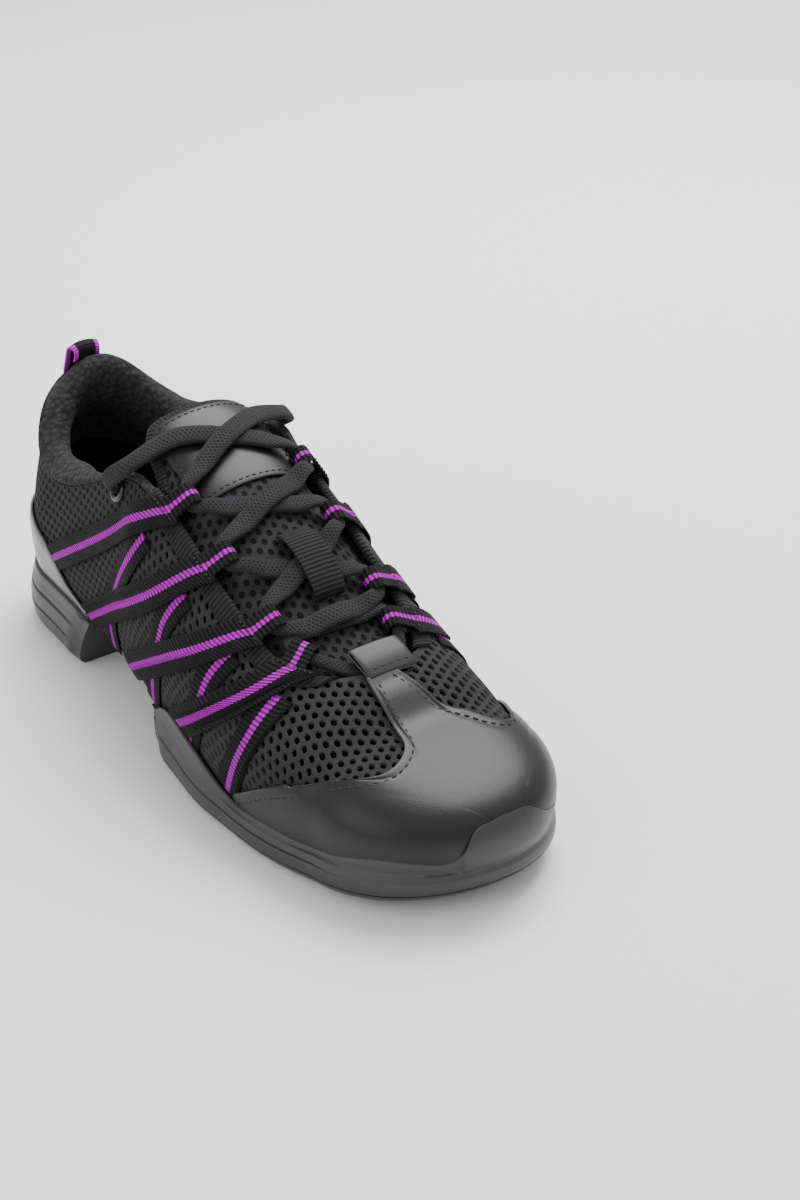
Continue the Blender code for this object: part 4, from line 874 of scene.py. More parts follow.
@dataclass(frozen=True)
class Finish:
    """A material: its real substance, colours, gloss and surface."""

    name: str
    # light is the colour of the pattern's raised parts, dark that of its low parts; in ribs, braid,
    # knit loops and holes the darker low parts are painted shade
    light: str
    dark: str
    rough: float
    pattern: Pattern = Pattern.FIBRE
    scale_mm: float = 1.0
    relief_mm: float = 0.1
    sheen: float = 0.0
    specular: float = 0.5
    coat: float = 0.0
    metallic: float = 0.0
    stripe: str = ""
    stripe_mm: tuple[float, float] = (0.0, 0.0)
    tread_mm: float = 0.0

    def build(self) -> Material:
        """Make the material once and hand it out again.

        Returns:
            The material.
        """
        found = bpy.data.materials.get(self.name)
        if found:
            return found
        mat = bpy.data.materials.new(self.name)
        mat.use_nodes = True
        tree = mat.node_tree
        shader = tree.nodes["Principled BSDF"]
        for socket, value in (
            ("Roughness", self.rough),
            ("Metallic", self.metallic),
            ("Coat Weight", self.coat),
            ("Coat Roughness", 0.22),
            ("Sheen Weight", self.sheen),
            ("Specular IOR Level", self.specular),
            ("Sheen Roughness", 0.5),
        ):
            shader.inputs[socket].default_value = value
        coords = add_node(tree, "ShaderNodeTexCoord", {}, {})
        height = self.height(tree, coords)
        blotch = add_node(tree, "ShaderNodeTexNoise", {"Scale": 55.0, "Detail": 3.0},
                          {"Vector": coords.outputs["Object"]})
        # Colour from the pattern's height and a random blotch: the blotch and the fibre noise are
        # random tone, while the darker grooves, gaps and holes of the ribbed, braided, knit and
        # holed patterns are painted shade
        tone_and_painted_shade = self.weighted(tree, -0.075, [(height, 0.85), (blotch.outputs["Fac"], 0.30)])
        out = add_node(tree, "ShaderNodeMix", {"data_type": "RGBA", 6: linear(self.dark),
                                               7: linear(self.light)}, {0: tone_and_painted_shade}).outputs[2]
        if self.stripe:
            out = self.striped(tree, coords, out, height)
        tree.links.new(out, shader.inputs["Base Color"])
        bump = add_node(tree, "ShaderNodeBump",
                        {"Strength": 1.0, "Distance": self.relief_mm / 1000}, {"Height": height})
        normal = bump.outputs["Normal"]
        if self.tread_mm:
            normal = self.tread(tree, coords, normal)
        tree.links.new(normal, shader.inputs["Normal"])
        return mat

    def weighted(self, tree: NodeTree, base: float,
                 parts: Sequence[tuple[NodeSocket, float]]) -> NodeSocket:
        """A base value with weighted sockets added to it.

        Args:
            tree: The material's nodes.
            base: Value to start from.
            parts: Each socket with its weight.

        Returns:
            The sum.
        """
        total = None
        for source, weight in parts:
            links = {0: source} if total is None else {0: source, 2: total}
            total = add_node(tree, MATH, {"operation": "MULTIPLY_ADD", 1: weight, 2: base},
                             links).outputs[0]
        return total

    def wave(self, tree: NodeTree, uv: NodeSocket, along: float,
             across: float) -> NodeSocket:
        """A cosine over a map in millimetres.

        Args:
            tree: The material's nodes.
            uv: The map.
            along: Radians for each millimetre along.
            across: Radians for each millimetre across.

        Returns:
            The wave, from -1 to 1.
        """
        turn = add_node(tree, "ShaderNodeVectorMath",
                        {"operation": "DOT_PRODUCT", 1: (along, across, 0.0)}, {0: uv})
        return add_node(tree, MATH, {"operation": "COSINE"}, {0: turn.outputs["Value"]}).outputs[0]

    def height(self, tree: NodeTree, coords: Node) -> NodeSocket:
        """Height of the surface in the finish's own pattern.

        Args:
            tree: The material's nodes.
            coords: Its texture coordinates.

        Returns:
            The height, from 0 to about 1.
        """
        where, uv = {"Vector": coords.outputs["Object"]}, coords.outputs["UV"]
        scale = {"Scale": 1000.0 / self.scale_mm}
        fine = add_node(tree, "ShaderNodeTexNoise", {**scale, "Detail": 4.0}, where).outputs["Fac"]
        k = 2 * math.pi / self.scale_mm
        if self.pattern is Pattern.FIBRE:
            return fine
        if self.pattern is Pattern.PEBBLE:
            cells = add_node(tree, "ShaderNodeTexVoronoi",
                             {**scale, "feature": "SMOOTH_F1", "Smoothness": 0.35}, where)
            return self.weighted(tree, 0.84, [(cells.outputs["Distance"], -0.8), (fine, 0.25)])
        if self.pattern is Pattern.RIBS:
            rib, weave = (self.wave(tree, uv, *turns)
                          for turns in ((k, 0.0), (k * 0.5, 2 * math.pi / 0.55)))
            return self.weighted(tree, 0.44, [(rib, 0.36), (weave, 0.10), (fine, 0.20)])
        if self.pattern is Pattern.BRAID:
            ribs = {i: self.wave(tree, uv, k, hand * k) for i, hand in enumerate((1, -1))}
            both = add_node(tree, MATH, {"operation": "MAXIMUM"}, ribs).outputs[0]
            return self.weighted(tree, 0.2, [(both, 0.35), (fine, 0.5)])
        k *= 2 / math.sqrt(3)
        waves = [(self.wave(tree, uv, k * math.sin(turn), k * math.cos(turn)), 1.0)
                 for turn in (0.0, math.pi / 3, -math.pi / 3)]
        # The holes fall to zero height, so build paints them in the dark colour as painted shade
        hole = add_node(tree, "ShaderNodeMapRange",
                        {"interpolation_type": "SMOOTHSTEP", 1: 0.15, 2: 1.3, 3: 0.85, 4: 0.0},
                        {0: self.weighted(tree, 0.0, waves)})
        return add_node(tree, MATH, {"operation": "MULTIPLY"},
                        {0: hole.outputs[0], 1: self.weighted(tree, 0.7, [(fine, 0.5)])}).outputs[0]

    def striped(self, tree: NodeTree, coords: Node,
                base: NodeSocket, height: NodeSocket) -> NodeSocket:
        """A coloured stripe between two distances from the band's middle.

        Args:
            tree: The material's nodes.
            coords: Its texture coordinates.
            base: Colour beside the stripe.
            height: Height of the pattern, which frays the stripe and darkens its dye in the rib
                grooves as painted shade.

        Returns:
            The colour.
        """
        split = add_node(tree, "ShaderNodeSeparateXYZ", {}, {0: coords.outputs["UV"]})
        off = add_node(tree, MATH, {"operation": "ABSOLUTE"}, {0: split.outputs[1]}).outputs[0]
        lo, hi = self.stripe_mm
        inside = add_node(tree, MATH, {"operation": "COMPARE", 1: (lo + hi) / 2 - 0.17,
                                       2: (hi - lo) / 2},
                          {0: self.weighted(tree, 0.0, [(off, 1.0), (height, -0.35)])})
        dye = linear(self.stripe)
        # The dye drops to 0.18 of itself in the rib grooves as painted shade and is full on the
        # ribs
        dye_with_painted_groove_shade = add_node(tree, "ShaderNodeMix",
                        {"data_type": "RGBA", 6: (*(0.18 * c for c in dye[:3]), 1.0), 7: dye},
                        {0: height})
        return add_node(tree, "ShaderNodeMix", {"data_type": "RGBA"},
                        {0: inside.outputs[0], 6: base, 7: dye_with_painted_groove_shade.outputs[2]}).outputs[2]

    def tread(self, tree: NodeTree, coords: Node,
              normal: NodeSocket) -> NodeSocket:
        """Fine rings on the faces that point down, as a turning sole has.

        Args:
            tree: The material's nodes.
            coords: Its texture coordinates.
            normal: Normal before the rings.

        Returns:
            The normal with the rings.
        """
        centred = add_node(tree, "ShaderNodeMapping", {1: (-0.045, 0.0, 0.0)},
                           {0: coords.outputs["Object"]})
        rings = add_node(tree, "ShaderNodeTexWave",
                         {"wave_type": "RINGS", "rings_direction": "Z", "Scale": 22.0,
                          "Distortion": 0.4}, {"Vector": centred.outputs[0]})
        facing = add_node(tree, "ShaderNodeNewGeometry", {}, {})
        split = add_node(tree, "ShaderNodeSeparateXYZ", {}, {0: facing.outputs["True Normal"]})
        down = add_node(tree, MATH, {"operation": "LESS_THAN", 1: -0.8}, {0: split.outputs[2]})
        high = add_node(tree, MATH, {"operation": "MULTIPLY"},
                        {0: down.outputs[0], 1: rings.outputs["Fac"]})
        bump = add_node(tree, "ShaderNodeBump", {"Distance": self.tread_mm / 1000},
                        {"Height": high.outputs[0], "Normal": normal})
        return bump.outputs["Normal"]


# Knitted polyester spacer mesh: matt, with a soft fuzz on every strand
SPACER_MESH = Finish("polyester_spacer_mesh", "#3b3b3d", "#1d1d1e", 0.88, scale_mm=0.5,
                     relief_mm=0.16, sheen=0.03, specular=0.12)
# The same mesh where it lies smooth over the tongue, its holes pressed in and painted near black as
# painted shade
TONGUE_MESH = Finish("polyester_tongue_mesh", "#343436", "#060606", 0.88, Pattern.HOLES, 3.9,
                     0.80, sheen=0.03, specular=0.12)
# Brushed nylon tricot behind the mesh: nearly black in the holes
TRICOT = Finish("nylon_tricot_lining", "#0c0c0d", "#050506", 0.95, scale_mm=0.7,
                relief_mm=0.12, specular=0.1)
# Looped knit over the collar foam: small dark pebbles with a soft sheen, the gaps between them
# painted near black as painted shade
COLLAR_KNIT = Finish("looped_collar_knit", "#3a3a3c", "#060607", 0.92, Pattern.PEBBLE, 2.0,
                     0.95, sheen=0.03, specular=0.12)
# Woven nylon grosgrain: ribs across it, with a dyed line down the middle, and painted shade
# darkening the grooves between the ribs
GROSGRAIN = Finish("nylon_grosgrain", "#242325", "#060506", 0.7, Pattern.RIBS, 1.65, 0.60,
                   sheen=0.0, specular=0.08, stripe="#bd12c6", stripe_mm=(-1.0, 1.15))
# Plain and edged grosgrain, with the same painted shade in their rib grooves
PLAIN_GROSGRAIN = Finish("plain_nylon_grosgrain", "#29292b", "#09090a", 0.7, Pattern.RIBS, 1.5,
                         0.50, sheen=0.03, specular=0.12)
PULL_GROSGRAIN = Finish("edged_nylon_grosgrain", "#201f21", "#0c0b0d", 0.6, Pattern.RIBS, 1.0,
                        0.20, sheen=0.0, specular=0.10, stripe="#c928d1", stripe_mm=(5.5, 9.5))
# Pressed polyurethane leather: smooth, softly glossy, a very fine grain
COATED_LEATHER = Finish("polyurethane_leather", "#1d1d1e", "#151516", 0.38, Pattern.PEBBLE, 0.55,
                        0.020, specular=0.26, coat=0.05)
# Its cut edge shows the pale backing cloth
CUT_EDGE = Finish("leather_backing_edge", "#636365", "#3c3c3e", 0.8, scale_mm=0.4, relief_mm=0.05)
# Moulded rubber with a fine spark grain, half matt
RUBBER = Finish("moulded_rubber", "#2c2c2d", "#222223", 0.42, scale_mm=0.45, relief_mm=0.02,
                tread_mm=0.5)
# Moulded thermoplastic film of the heel cup: paler and satin
CUP_FILM = Finish("moulded_thermoplastic", "#555655", "#454645", 0.33, scale_mm=0.5,
                  relief_mm=0.015, coat=0.15)
# Tubular knitted polyester lace: soft, with crossed ribs, the gaps between them painted darker as
# painted shade
LACE_KNIT = Finish("knitted_polyester_lace", "#353537", "#101011", 0.86, Pattern.BRAID, 1.5, 0.45,
                   sheen=0.03, specular=0.12)
# Bonded thread, darker than what it holds
THREAD = Finish("bonded_thread", "#0d0d0e", "#060606", 0.6, scale_mm=0.3, relief_mm=0.03)
# Brass eyelet under black lacquer
EYELET_LACQUER = Finish("black_lacquered_brass", "#0d0d0e", "#08080a", 0.28, scale_mm=0.4,
                        relief_mm=0.004, specular=0.4, coat=0.1)
# Moulded foam under brushed cloth, and pressed fibre board
INSOLE_CLOTH = Finish("brushed_insole_cloth", "#1d1d1e", "#121213", 0.95, scale_mm=0.6,
                      relief_mm=0.10)
FIBRE_BOARD = Finish("pressed_fibre_board", "#3a3835", "#2a2826", 0.9, scale_mm=0.8, relief_mm=0.06)
STUDIO_FLOOR = Finish("matt_studio_floor", "#f1efef", "#efedee", 0.9, scale_mm=9.0, relief_mm=0.01)


def lay(points: Array, along: Array | float,
        across: Array | float) -> BMesh:
    """A grid laid on rows of points, with a texture map in millimetres.

    Args:
        points: Places, (rows along, columns across, 3).
        along: Length of the sheet in metres, or a map value for each row.
        across: Width of the sheet in metres, or a map value for each column.

    Returns:
        The sheet.
    """
    n, m = points.shape[:2]
    along = np.linspace(0, along, n) if np.isscalar(along) else along
    across = np.linspace(-across / 2, across / 2, m) if np.isscalar(across) else across
    bm = bmesh.new()
    bmesh.ops.create_grid(bm, x_segments=n - 1, y_segments=m - 1, size=0.5)
    layer = bm.loops.layers.uv.new("UVMap")
    place = {}
    for vert in bm.verts:
        i, j = round((vert.co.x + 0.5) * (n - 1)), round((vert.co.y + 0.5) * (m - 1))
        place[vert] = (i, j)
        vert.co = points[i, j]
    for face in bm.faces:
        for loop in face.loops:
            i, j = place[loop.vert]
            loop[layer].uv = (along[i] * 1000, across[j] * 1000)
    bmesh.ops.remove_doubles(bm, verts=bm.verts, dist=1e-6)
    bmesh.ops.dissolve_degenerate(bm, edges=bm.edges, dist=1e-7)
    return bm


def face_out(bm: BMesh, centre: Array) -> None:
    """Turn a sheet's faces away from a point inside the shoe.

    Args:
        bm: The sheet.
        centre: The point.
    """
    inside = Vector(centre)
    total = sum(f.calc_area() * f.normal.dot(f.calc_center_median() - inside) for f in bm.faces)
    if total < 0:
        bmesh.ops.reverse_faces(bm, faces=bm.faces)


@dataclass(frozen=True)
class Dresser:
    """Turns sheets and bodies into finished pieces in the shared frame."""

    shift: tuple[float, float, float]

    def piece(self, name: str, bm: BMesh, finish: Finish, slot: str,
              nodes: Sequence[str] = (), thick: float = 0.0, offset: float = 1.0,
              bevel: float = 0.0, levels: int = 0, rim: Finish | None = None,
              inside: Sequence[float] | None = (0.0, 0.0, 0.03),
              sharp: float = 40.0) -> Object:
        """Finish a mesh and hang it on the shoe's one body.

        Args:
            name: Name of the piece.
            bm: Its mesh, used up here.
            finish: Its material.
            slot: The record's material slot; not used.
            nodes: CAD nodes that it stands for.
            thick: Thickness that Solidify gives it.
            offset: Side that the thickness goes to, 1 outwards and -1 inwards.
            bevel: Width of its rounded edges.
            levels: Subdivision levels.
            rim: Material of the cut edge.
            inside: A point that the faces turn away from, or None for a closed body.
            sharp: Angle in degrees past which an edge stays sharp.

        Returns:
            The finished object.
        """
        bm.normal_update()
        if inside is None:
            bmesh.ops.recalc_face_normals(bm, faces=bm.faces)
        else:
            face_out(bm, np.array(inside))
        bmesh.ops.translate(bm, verts=bm.verts, vec=self.shift)
        mesh = bpy.data.meshes.new(name)
        bm.to_mesh(mesh)
        bm.free()
        mesh.shade_smooth()
        mesh.set_sharp_from_angle(angle=math.radians(sharp))
        obj = bpy.data.objects.new(name, mesh)
        bpy.context.scene.collection.objects.link(obj)
        mesh.materials.append(finish.build())
        if thick:
            wall = obj.modifiers.new("thickness", "SOLIDIFY")
            wall.thickness, wall.offset = thick, offset
            if rim:
                mesh.materials.append(rim.build())
                wall.material_offset_rim = 1
        if bevel:
            edge = obj.modifiers.new("edge", "BEVEL")
            edge.width, edge.segments, edge.limit_method = bevel, 2, "ANGLE"
            edge.angle_limit = math.radians(50)
        if levels:
            sub = obj.modifiers.new("smooth", "SUBSURF")
            sub.levels = sub.render_levels = levels
        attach(obj, ROOT)
        if nodes:
            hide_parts(*nodes)
        LOG.info("%s: %d faces", name, len(mesh.polygons))
        return obj

    def stitches(self, name: str, runs: Sequence[tuple[Array, Array]], slot: str,
                 length: float = 0.0019, gap: float = 0.0011, width: float = 0.00055,
                 finish: Finish = THREAD) -> Object:
        """Runs of short raised stitches along lines on the surface.

        Args:
            name: Name of the piece.
            runs: Line and normals of each run.
            slot: The record's material slot, handed on to piece, which does not use it.
            length: Length of one stitch.
            gap: Bare length between stitches.
            width: Width of the thread.
            finish: Thread's material.

        Returns:
            The stitches as one object.
        """
        bm = bmesh.new()
        for line, normals in runs:
            run = arc(line)
            for at in np.arange(gap, run[-1] - length, length + gap):
                ends = [np.array([np.interp(s, run, line[:, k]) for k in range(3)])
                        for s in (at, at + length)]
                up = np.array([np.interp(at, run, normals[:, k]) for k in range(3)])
                way = unit(ends[1] - ends[0])
                up = unit(up - way * up.dot(way))
                turn = Matrix(np.stack([way, np.cross(up, way), up], 1)).to_4x4()
                size = Matrix.Diagonal((length / 2, width / 2, width / 2, 1))
                place = Matrix.Translation(Vector((ends[0] + ends[1]) / 2))
                bmesh.ops.create_icosphere(bm, subdivisions=1, radius=1.15,
                                           matrix=place @ turn @ size)
        return self.piece(name, bm, finish, slot, inside=None, sharp=80)


@dataclass
class SoleUnits:
    """Forepart and heel units, apart under the arch, with a cup over the upper's edge."""

    dresser: Dresser
    cup_gap: float = 0.0008
    rim: float = 0.0016
    floor_down: float = 0.00035
    groove: float = 0.0011
    groove_half: float = 0.017
    near_groove: tuple[float, ...] = (-0.04, -0.025, -0.012, 0.0, 0.012, 0.025, 0.04)
    more_shares: tuple[float, ...] = (0.9, 0.85, 0.56, 0.5, 0.2, 0.15, 0.03)
    seat_off: tuple[float, float] = (-0.0006, 0.0003)
    rim_round: float = 0.0005
    wall_off: float = 0.0021
    swells: tuple = ((0.72, 0.0002), (0.42, 0.0004), (0.15, 0.0006))
    bumper: tuple[float, ...] = (-0.0165, -0.0150, 0.010, 0.022)
    bumper_out: float = 0.0009
    heel_rise: float = 0.0014
    heel_rim: float = 0.0020
    heel_lean: float = 0.45
    lean_over: float = 0.022
    fore_side: tuple = ((0.92, 3.6), (0.72, 4.3), (0.60, 4.4), (0.33, 4.2), (0.20, 3.6),
                        (0.08, 2.4), (0.0, 0.8))
    heel_side: tuple = ((0.96, 3.4), (0.84, 4.2), (0.70, 4.9), (0.52, 5.4), (0.40, 5.4),
                        (0.16, 4.2), (0.06, 2.4), (0.0, -0.4))

    def cup_rows(self, g: Array, rise: Array, fade: Array,
                 rim: Array | float) -> list:
        """Rows from the cup's floor up its inside and over the rounded rim.

        Args:
            g: Stations round the last.
            rise: Height of the cup up the wall.
            fade: Strength of the cup, 0 at its ends.
            rim: Thickness of the rim.

        Returns:
            The rows.
        """
        floor = LAST.feather(g) - self.floor_down
        f = step01(fade, 0.0, 0.35)[:, None]
        rows = [LAST.beside(g, off, z=floor) for off in self.seat_off]

        def wall(part: float, lift: float, off: float) -> Array:
            """One row on the cup's wall, at a share of its height.

            Args:
                part: Share of its height.
                lift: Distance off the wall.
                off: Distance outwards where the cup has faded.

            Returns:
                The row.
            """
            flat = LAST.beside(g, off, z=floor)
            up = LAST.surf(g, np.maximum(rise * fade * part, 0.00001), lift)
            return flat * (1 - f) + up * f

        for part in (0.3, 0.6, 0.9):
            rows.append(wall(part, self.cup_gap, 0.0004 + 0.0003 * part))
        for turn in (0, 35, 70, 110, 145, 180):
            c = math.cos(math.radians(turn))
            lift = self.cup_gap + rim / 2 - c * rim / 2
            row = wall(1.0, lift, 0.0011 - c * 0.0007)
            row[:, 2] += self.rim_round * math.sin(math.radians(turn)) * f[:, 0]
            rows.append(row)
        for part, swell in self.swells:
            rows.append(wall(part, self.cup_gap + rim + swell, self.wall_off))
        return rows

    def side_rows(self, g: Array, knots: tuple, grooves: list, wide: Array) -> list:
        """Rows down the side, with fine grooves let into it.

        Args:
            g: Stations round the last.
            knots: Share of the height and millimetres outwards.
            grooves: Centre, depth and strength of each groove.
            wide: Share of the bulge kept.

        Returns:
            The rows.
        """
        shares = sorted({s for s, _ in knots}
                        | {c + d for c, _, _ in grooves
                           for d in self.near_groove})
        shares = [s for s in np.unique(np.round([*shares, *self.more_shares], 3))
                  if s <= knots[0][0]][::-1]
        at = [k[0] for k in knots][::-1]
        off = [k[1] for k in knots][::-1]
        rows = []
        for share in shares:
            out = float(smooth(at, off, share)) / 1000 * wide
            for centre, depth, strength in grooves:
                near = math.exp(-(((share - centre) / self.groove_half) ** 2))
                out = out - depth * strength(g) * near
            rows.append(LAST.beside(g, out, share=share))
        return rows

    def close(self, rows: list, along: Array) -> BMesh:
        """Close rows round the last across the middle, above and below, and at the ends.

        Args:
            rows: Rows of points.
            along: Texture map along the rows.

        Returns:
            The closed mesh.
        """
        def ladder(row: Array) -> list:
            """Rows from an edge to the middle line between its two sides."""
            mid = (row + row[::-1]) / 2
            return [row * (1 - t) + mid * t for t in (1.0, 0.66, 0.33)]

        rows = [*ladder(rows[0]), *rows, *ladder(rows[-1])[::-1]]
        points = np.stack(rows, 1)
        bm = lay(points, along, np.arange(len(rows)) * 0.001)
        bmesh.ops.remove_doubles(bm, verts=bm.verts, dist=2e-5)
        cap_open_ends(bm)
        bmesh.ops.triangulate(bm, faces=[f for f in bm.faces if len(f.verts) > 4])
        return bm

    def forepart(self) -> Object:
        """The forepart unit with its bumper, side groove and toe spring.

        Returns:
            The unit.
        """
        q_last = LAST.share_q(LAST.fore_rear)
        g = both_sides(evenly(np.arange(0, LAST.q_toe, 0.0016),
                              np.arange(LAST.q_toe, q_last, 0.0024), q_last,
                              *(LAST.q_of("toe", d) for d in (22.2, 23.0, 23.8, 24.6))))
        rise = LAST.rim_rise(g)
        fade = step01(q_last - np.abs(g), 0.0, LAST.fade)
        bumper = step01(g, *self.bumper[:2]) * (1 - step01(g, *self.bumper[2:]))
        rows = self.cup_rows(g, rise, fade, self.rim + self.bumper_out * bumper)

        def upper_groove(at: Array) -> Array:
            """Strong at the ball, fading towards the toe."""
            return step01(np.abs(at), 0.040, 0.075)

        def parting(at: Array) -> Array:
            """The line where the outsole is cemented on, all round."""
            return np.full_like(at, 0.55)

        grooves = [(0.70, self.groove, upper_groove), (0.30, self.groove, parting)]
        rows += self.side_rows(g, self.fore_side, grooves, 0.35 + 0.65 * fade)
        bm = self.close(rows, np.abs(g))
        return self.dresser.piece("forepart_unit_skin", bm, RUBBER, "sole_rubber",
                                  ("forepart_unit",), inside=None, sharp=55)

    def heel(self) -> Object:
        """The heel unit, cut back at a slant under the arch.

        Returns:
            The unit.
        """
        q_first = LAST.share_q(LAST.heel_front)
        g = round_heel(evenly(np.arange(q_first, LAST.q_side, 0.0022),
                              np.arange(LAST.q_side, LAST.q_end, 0.0016), LAST.q_end))
        fade = step01(np.abs(g) - q_first, 0.0, LAST.fade)
        rows = self.cup_rows(g, self.heel_rise + 0 * g, fade, self.heel_rim)

        def full(at: Array) -> Array:
            """A groove as strong as the unit's end lets it be."""
            return step01(np.abs(at) - q_first, 0.004, 0.02)

        grooves = [(0.76, self.groove, full), (0.47, self.groove, full)]
        rows += self.side_rows(g, self.heel_side, grooves, 0.6 + 0.4 * fade)
        front = np.abs(g) - q_first
        for row in rows:
            lean = 1 - step01(front, 0.0, self.lean_over)
            row[:, 0] -= lean * self.heel_lean * (LAST.heel_height - row[:, 2])
        bm = self.close(rows, np.abs(g))
        return self.dresser.piece("heel_unit_skin", bm, RUBBER, "sole_rubber", ("heel_unit",),
                                  inside=None, sharp=55)

    def build(self) -> None:
        """Both units."""
        self.forepart()
        self.heel()


@dataclass
class MeshUpper:
    """The mesh upper: a shell of six-sided holes over a dark lining, edged and padded."""

    dresser: Dresser
    pitch: float = 0.0037
    strand: float = 0.00082
    hole_deep: float = 0.0011
    tape: float = 0.0060
    front_over: float = 0.024
    tall: float = 0.112
    pad: float = 0.0096
    rim_rise: float = 0.0040
    inner_rise: float = 0.0036
    peak_at: float = 0.014
    peak_half: float = 0.020
    lining_in: float = 0.00125
    lining_at: tuple[float, ...] = (0, 0.07, 0.18, 0.32, 0.47, 0.62, 0.76, 0.88, 0.95, 1.0)
    roll_out: tuple[float, ...] = (1.12, 1.0, 0.94, 0.8, 0.6, 0.4, 0.2, 0.0)
    roll_over: tuple[float, ...] = (0.08, 0.2, 0.35, 0.5, 0.65, 0.8, 0.92)
    roll_in: tuple[float, ...] = (0.0, 0.002, 0.005, 0.009, 0.014, 0.020, 0.027, 0.034)

    def lining(self) -> None:
        """The wall behind the mesh, from the sole to the throat and collar."""
        g = both_sides(evenly(np.arange(0, LAST.q_end, 0.003), LAST.q_end, LAST.q_throat,
                              LAST.q_throat + 0.001, LAST.q_throat + 0.002))
        v = np.array(self.lining_at)
        full = LAST.wall_length(g) - 0.0004 * (np.abs(g) > LAST.q_throat)
        points = LAST.surf(g[:, None] + 0 * v, full[:, None] * v, -self.lining_in)
        near = np.abs(g) <= LAST.q_throat + 1e-9
        points[near, -1] = (points[near, -1] + points[::-1][near, -1]) / 2
        bm = lay(points, np.abs(g), v * 0.08)
        bmesh.ops.remove_doubles(bm, verts=bm.verts, dist=4e-5)
        self.dresser.piece("upper_lining", bm, TRICOT, "mesh", ("upper",), thick=0.0007,
                           offset=-1.0, sharp=80)

    def panel(self, side: float) -> None:
        """One side of the mesh, from the toe cap to the heel's seam.

        Args:
            side: Outer or inner side, -1 or 1.
        """
        s = self.pitch / math.sqrt(3)
        dx, dy = self.pitch / 2, 1.5 * s
        x_back, x_front = LAST.q_toe - LAST.q_end, self.front_over
        nx, ny = round((x_front - x_back) / dx), round(self.tall / dy)
        bm = bmesh.new()
        bmesh.ops.create_grid(bm, x_segments=nx, y_segments=ny, size=0.5)
        index = {}
        for vert in bm.verts:
            index[vert] = (round((vert.co.x + 0.5) * nx), round((vert.co.y + 0.5) * ny))
        dull = [e for e in bm.edges if not e.is_boundary
                and index[e.verts[0]][0] == index[e.verts[1]][0]
                and (index[e.verts[0]][0] + min(index[k][1] for k in e.verts)) % 2]
        flat = np.array([[x_front - index[k][0] * dx,
                          index[k][1] * dy + (0.25 if sum(index[k]) % 2 == 0 else -0.25) * s]
                         for k in bm.verts])
        flat[:, 0] = np.maximum(flat[:, 0], x_back)
        flat[:, 1] = np.maximum(flat[:, 1], 0.0)
        g = LAST.undevelop(flat)[0]
        g = np.abs(g) * side
        length = LAST.closed_length(np.minimum(np.abs(g), LAST.q_join), np.full_like(g, side))
        rho = np.where(flat[:, 0] > 0, np.hypot(flat[:, 0], flat[:, 1]), flat[:, 1])
        a = length - rho
        full = LAST.wall_length(g)
        spare = (a > full + self.pitch) | (a < -self.pitch * 1.2)
        low = np.clip(a, 0.0, np.maximum(full - 0.0008, 0))
        points = LAST.surf(g, low, 0.0)
        verts = list(bm.verts)
        gone = {verts[k] for k in np.where(spare)[0]}
        for vert, p in zip(verts, points):
            vert.co = p
        bmesh.ops.dissolve_edges(bm, edges=dull, use_verts=False)
        faces = [f for f in bm.faces if all(k in gone for k in f.verts)]
        bmesh.ops.delete(bm, geom=faces, context="FACES")
        bmesh.ops.remove_doubles(bm, verts=bm.verts, dist=2e-5)
        bmesh.ops.dissolve_degenerate(bm, edges=bm.edges, dist=5e-5)
        bm.normal_update()
        face_out(bm, np.array((0.0, 0.0, 0.03)))
        bm.normal_update()
        whole = 0.866 * self.pitch**2
        holes = [f for f in bm.faces if len(f.verts) == 6 and 0.55 < f.calc_area() / whole < 1.8]
        bmesh.ops.inset_individual(bm, faces=holes, thickness=self.strand * 0.55,
                                   use_even_offset=True, depth=0.00022)
        bmesh.ops.inset_individual(bm, faces=holes, thickness=self.strand * 0.45,
                                   use_even_offset=True, depth=-0.00016)
        bmesh.ops.inset_individual(bm, faces=holes, thickness=0.00012, use_even_offset=True,
                                   depth=-self.hole_deep)
        bmesh.ops.delete(bm, geom=holes, context="FACES_ONLY")
        self.dresser.piece(f"mesh_panel_{SIDE_WORD[side]}", bm, SPACER_MESH, "mesh", sharp=75)

    def seam_down(self, g: Array) -> Array:
        """Distance below the rim where the collar's knit is sewn to the mesh."""
        return LAST.column(SEAM_ROWS, 2, np.abs(g))

    def collar(self) -> None:
        """The padded knit roll over the collar and down its inside."""
        g = round_heel(evenly(np.arange(LAST.share_q(0.428), LAST.q_end, 0.0022), LAST.q_end))
        full = LAST.wall_length(g)
        down = self.seam_down(g)
        padded = step01(np.abs(g), LAST.share_q(0.285), LAST.share_q(0.165))
        rows, run = [], []
        for part in self.roll_out:
            puff = 0.0004 + (0.0006 + 0.0010 * padded) * math.sin(math.pi * min(part, 1.0)) ** 0.5
            puff = puff - (0.0011 if part > 1.0 else 0.0)
            rows.append(LAST.surf(g, full - down * part, puff))
            run.append(-0.010 * part)
        over = LAST.surf(g, full, 0.0005)
        up = unit(LAST.surf(g, full) - LAST.surf(g, full - 0.001))
        thick = LAST.wall + (self.pad - LAST.wall) * padded
        under = LAST.surf(g, full, -thick - 0.0002)
        for t in self.roll_over:
            peak = np.exp(-(((g - (LAST.q_end - self.peak_at)) / self.peak_half) ** 2))
            peak = peak + np.exp(-(((g + LAST.q_end + self.peak_at) / self.peak_half) ** 2))
            rise = self.rim_rise * padded + 0.0006 + self.inner_rise * peak
            rise = rise * math.sin(math.pi * t) ** 0.6
            rows.append(over * (1 - t) + under * t + up * np.reshape(rise, (-1, 1)))
            run.append(0.009 * t)
        for deep in self.roll_in:
            slim = 1 - step01(deep, 0.006, 0.030)
            t = LAST.wall + (self.pad - LAST.wall) * padded * slim
            rows.append(LAST.surf(g, full - deep, -t - 0.0002))
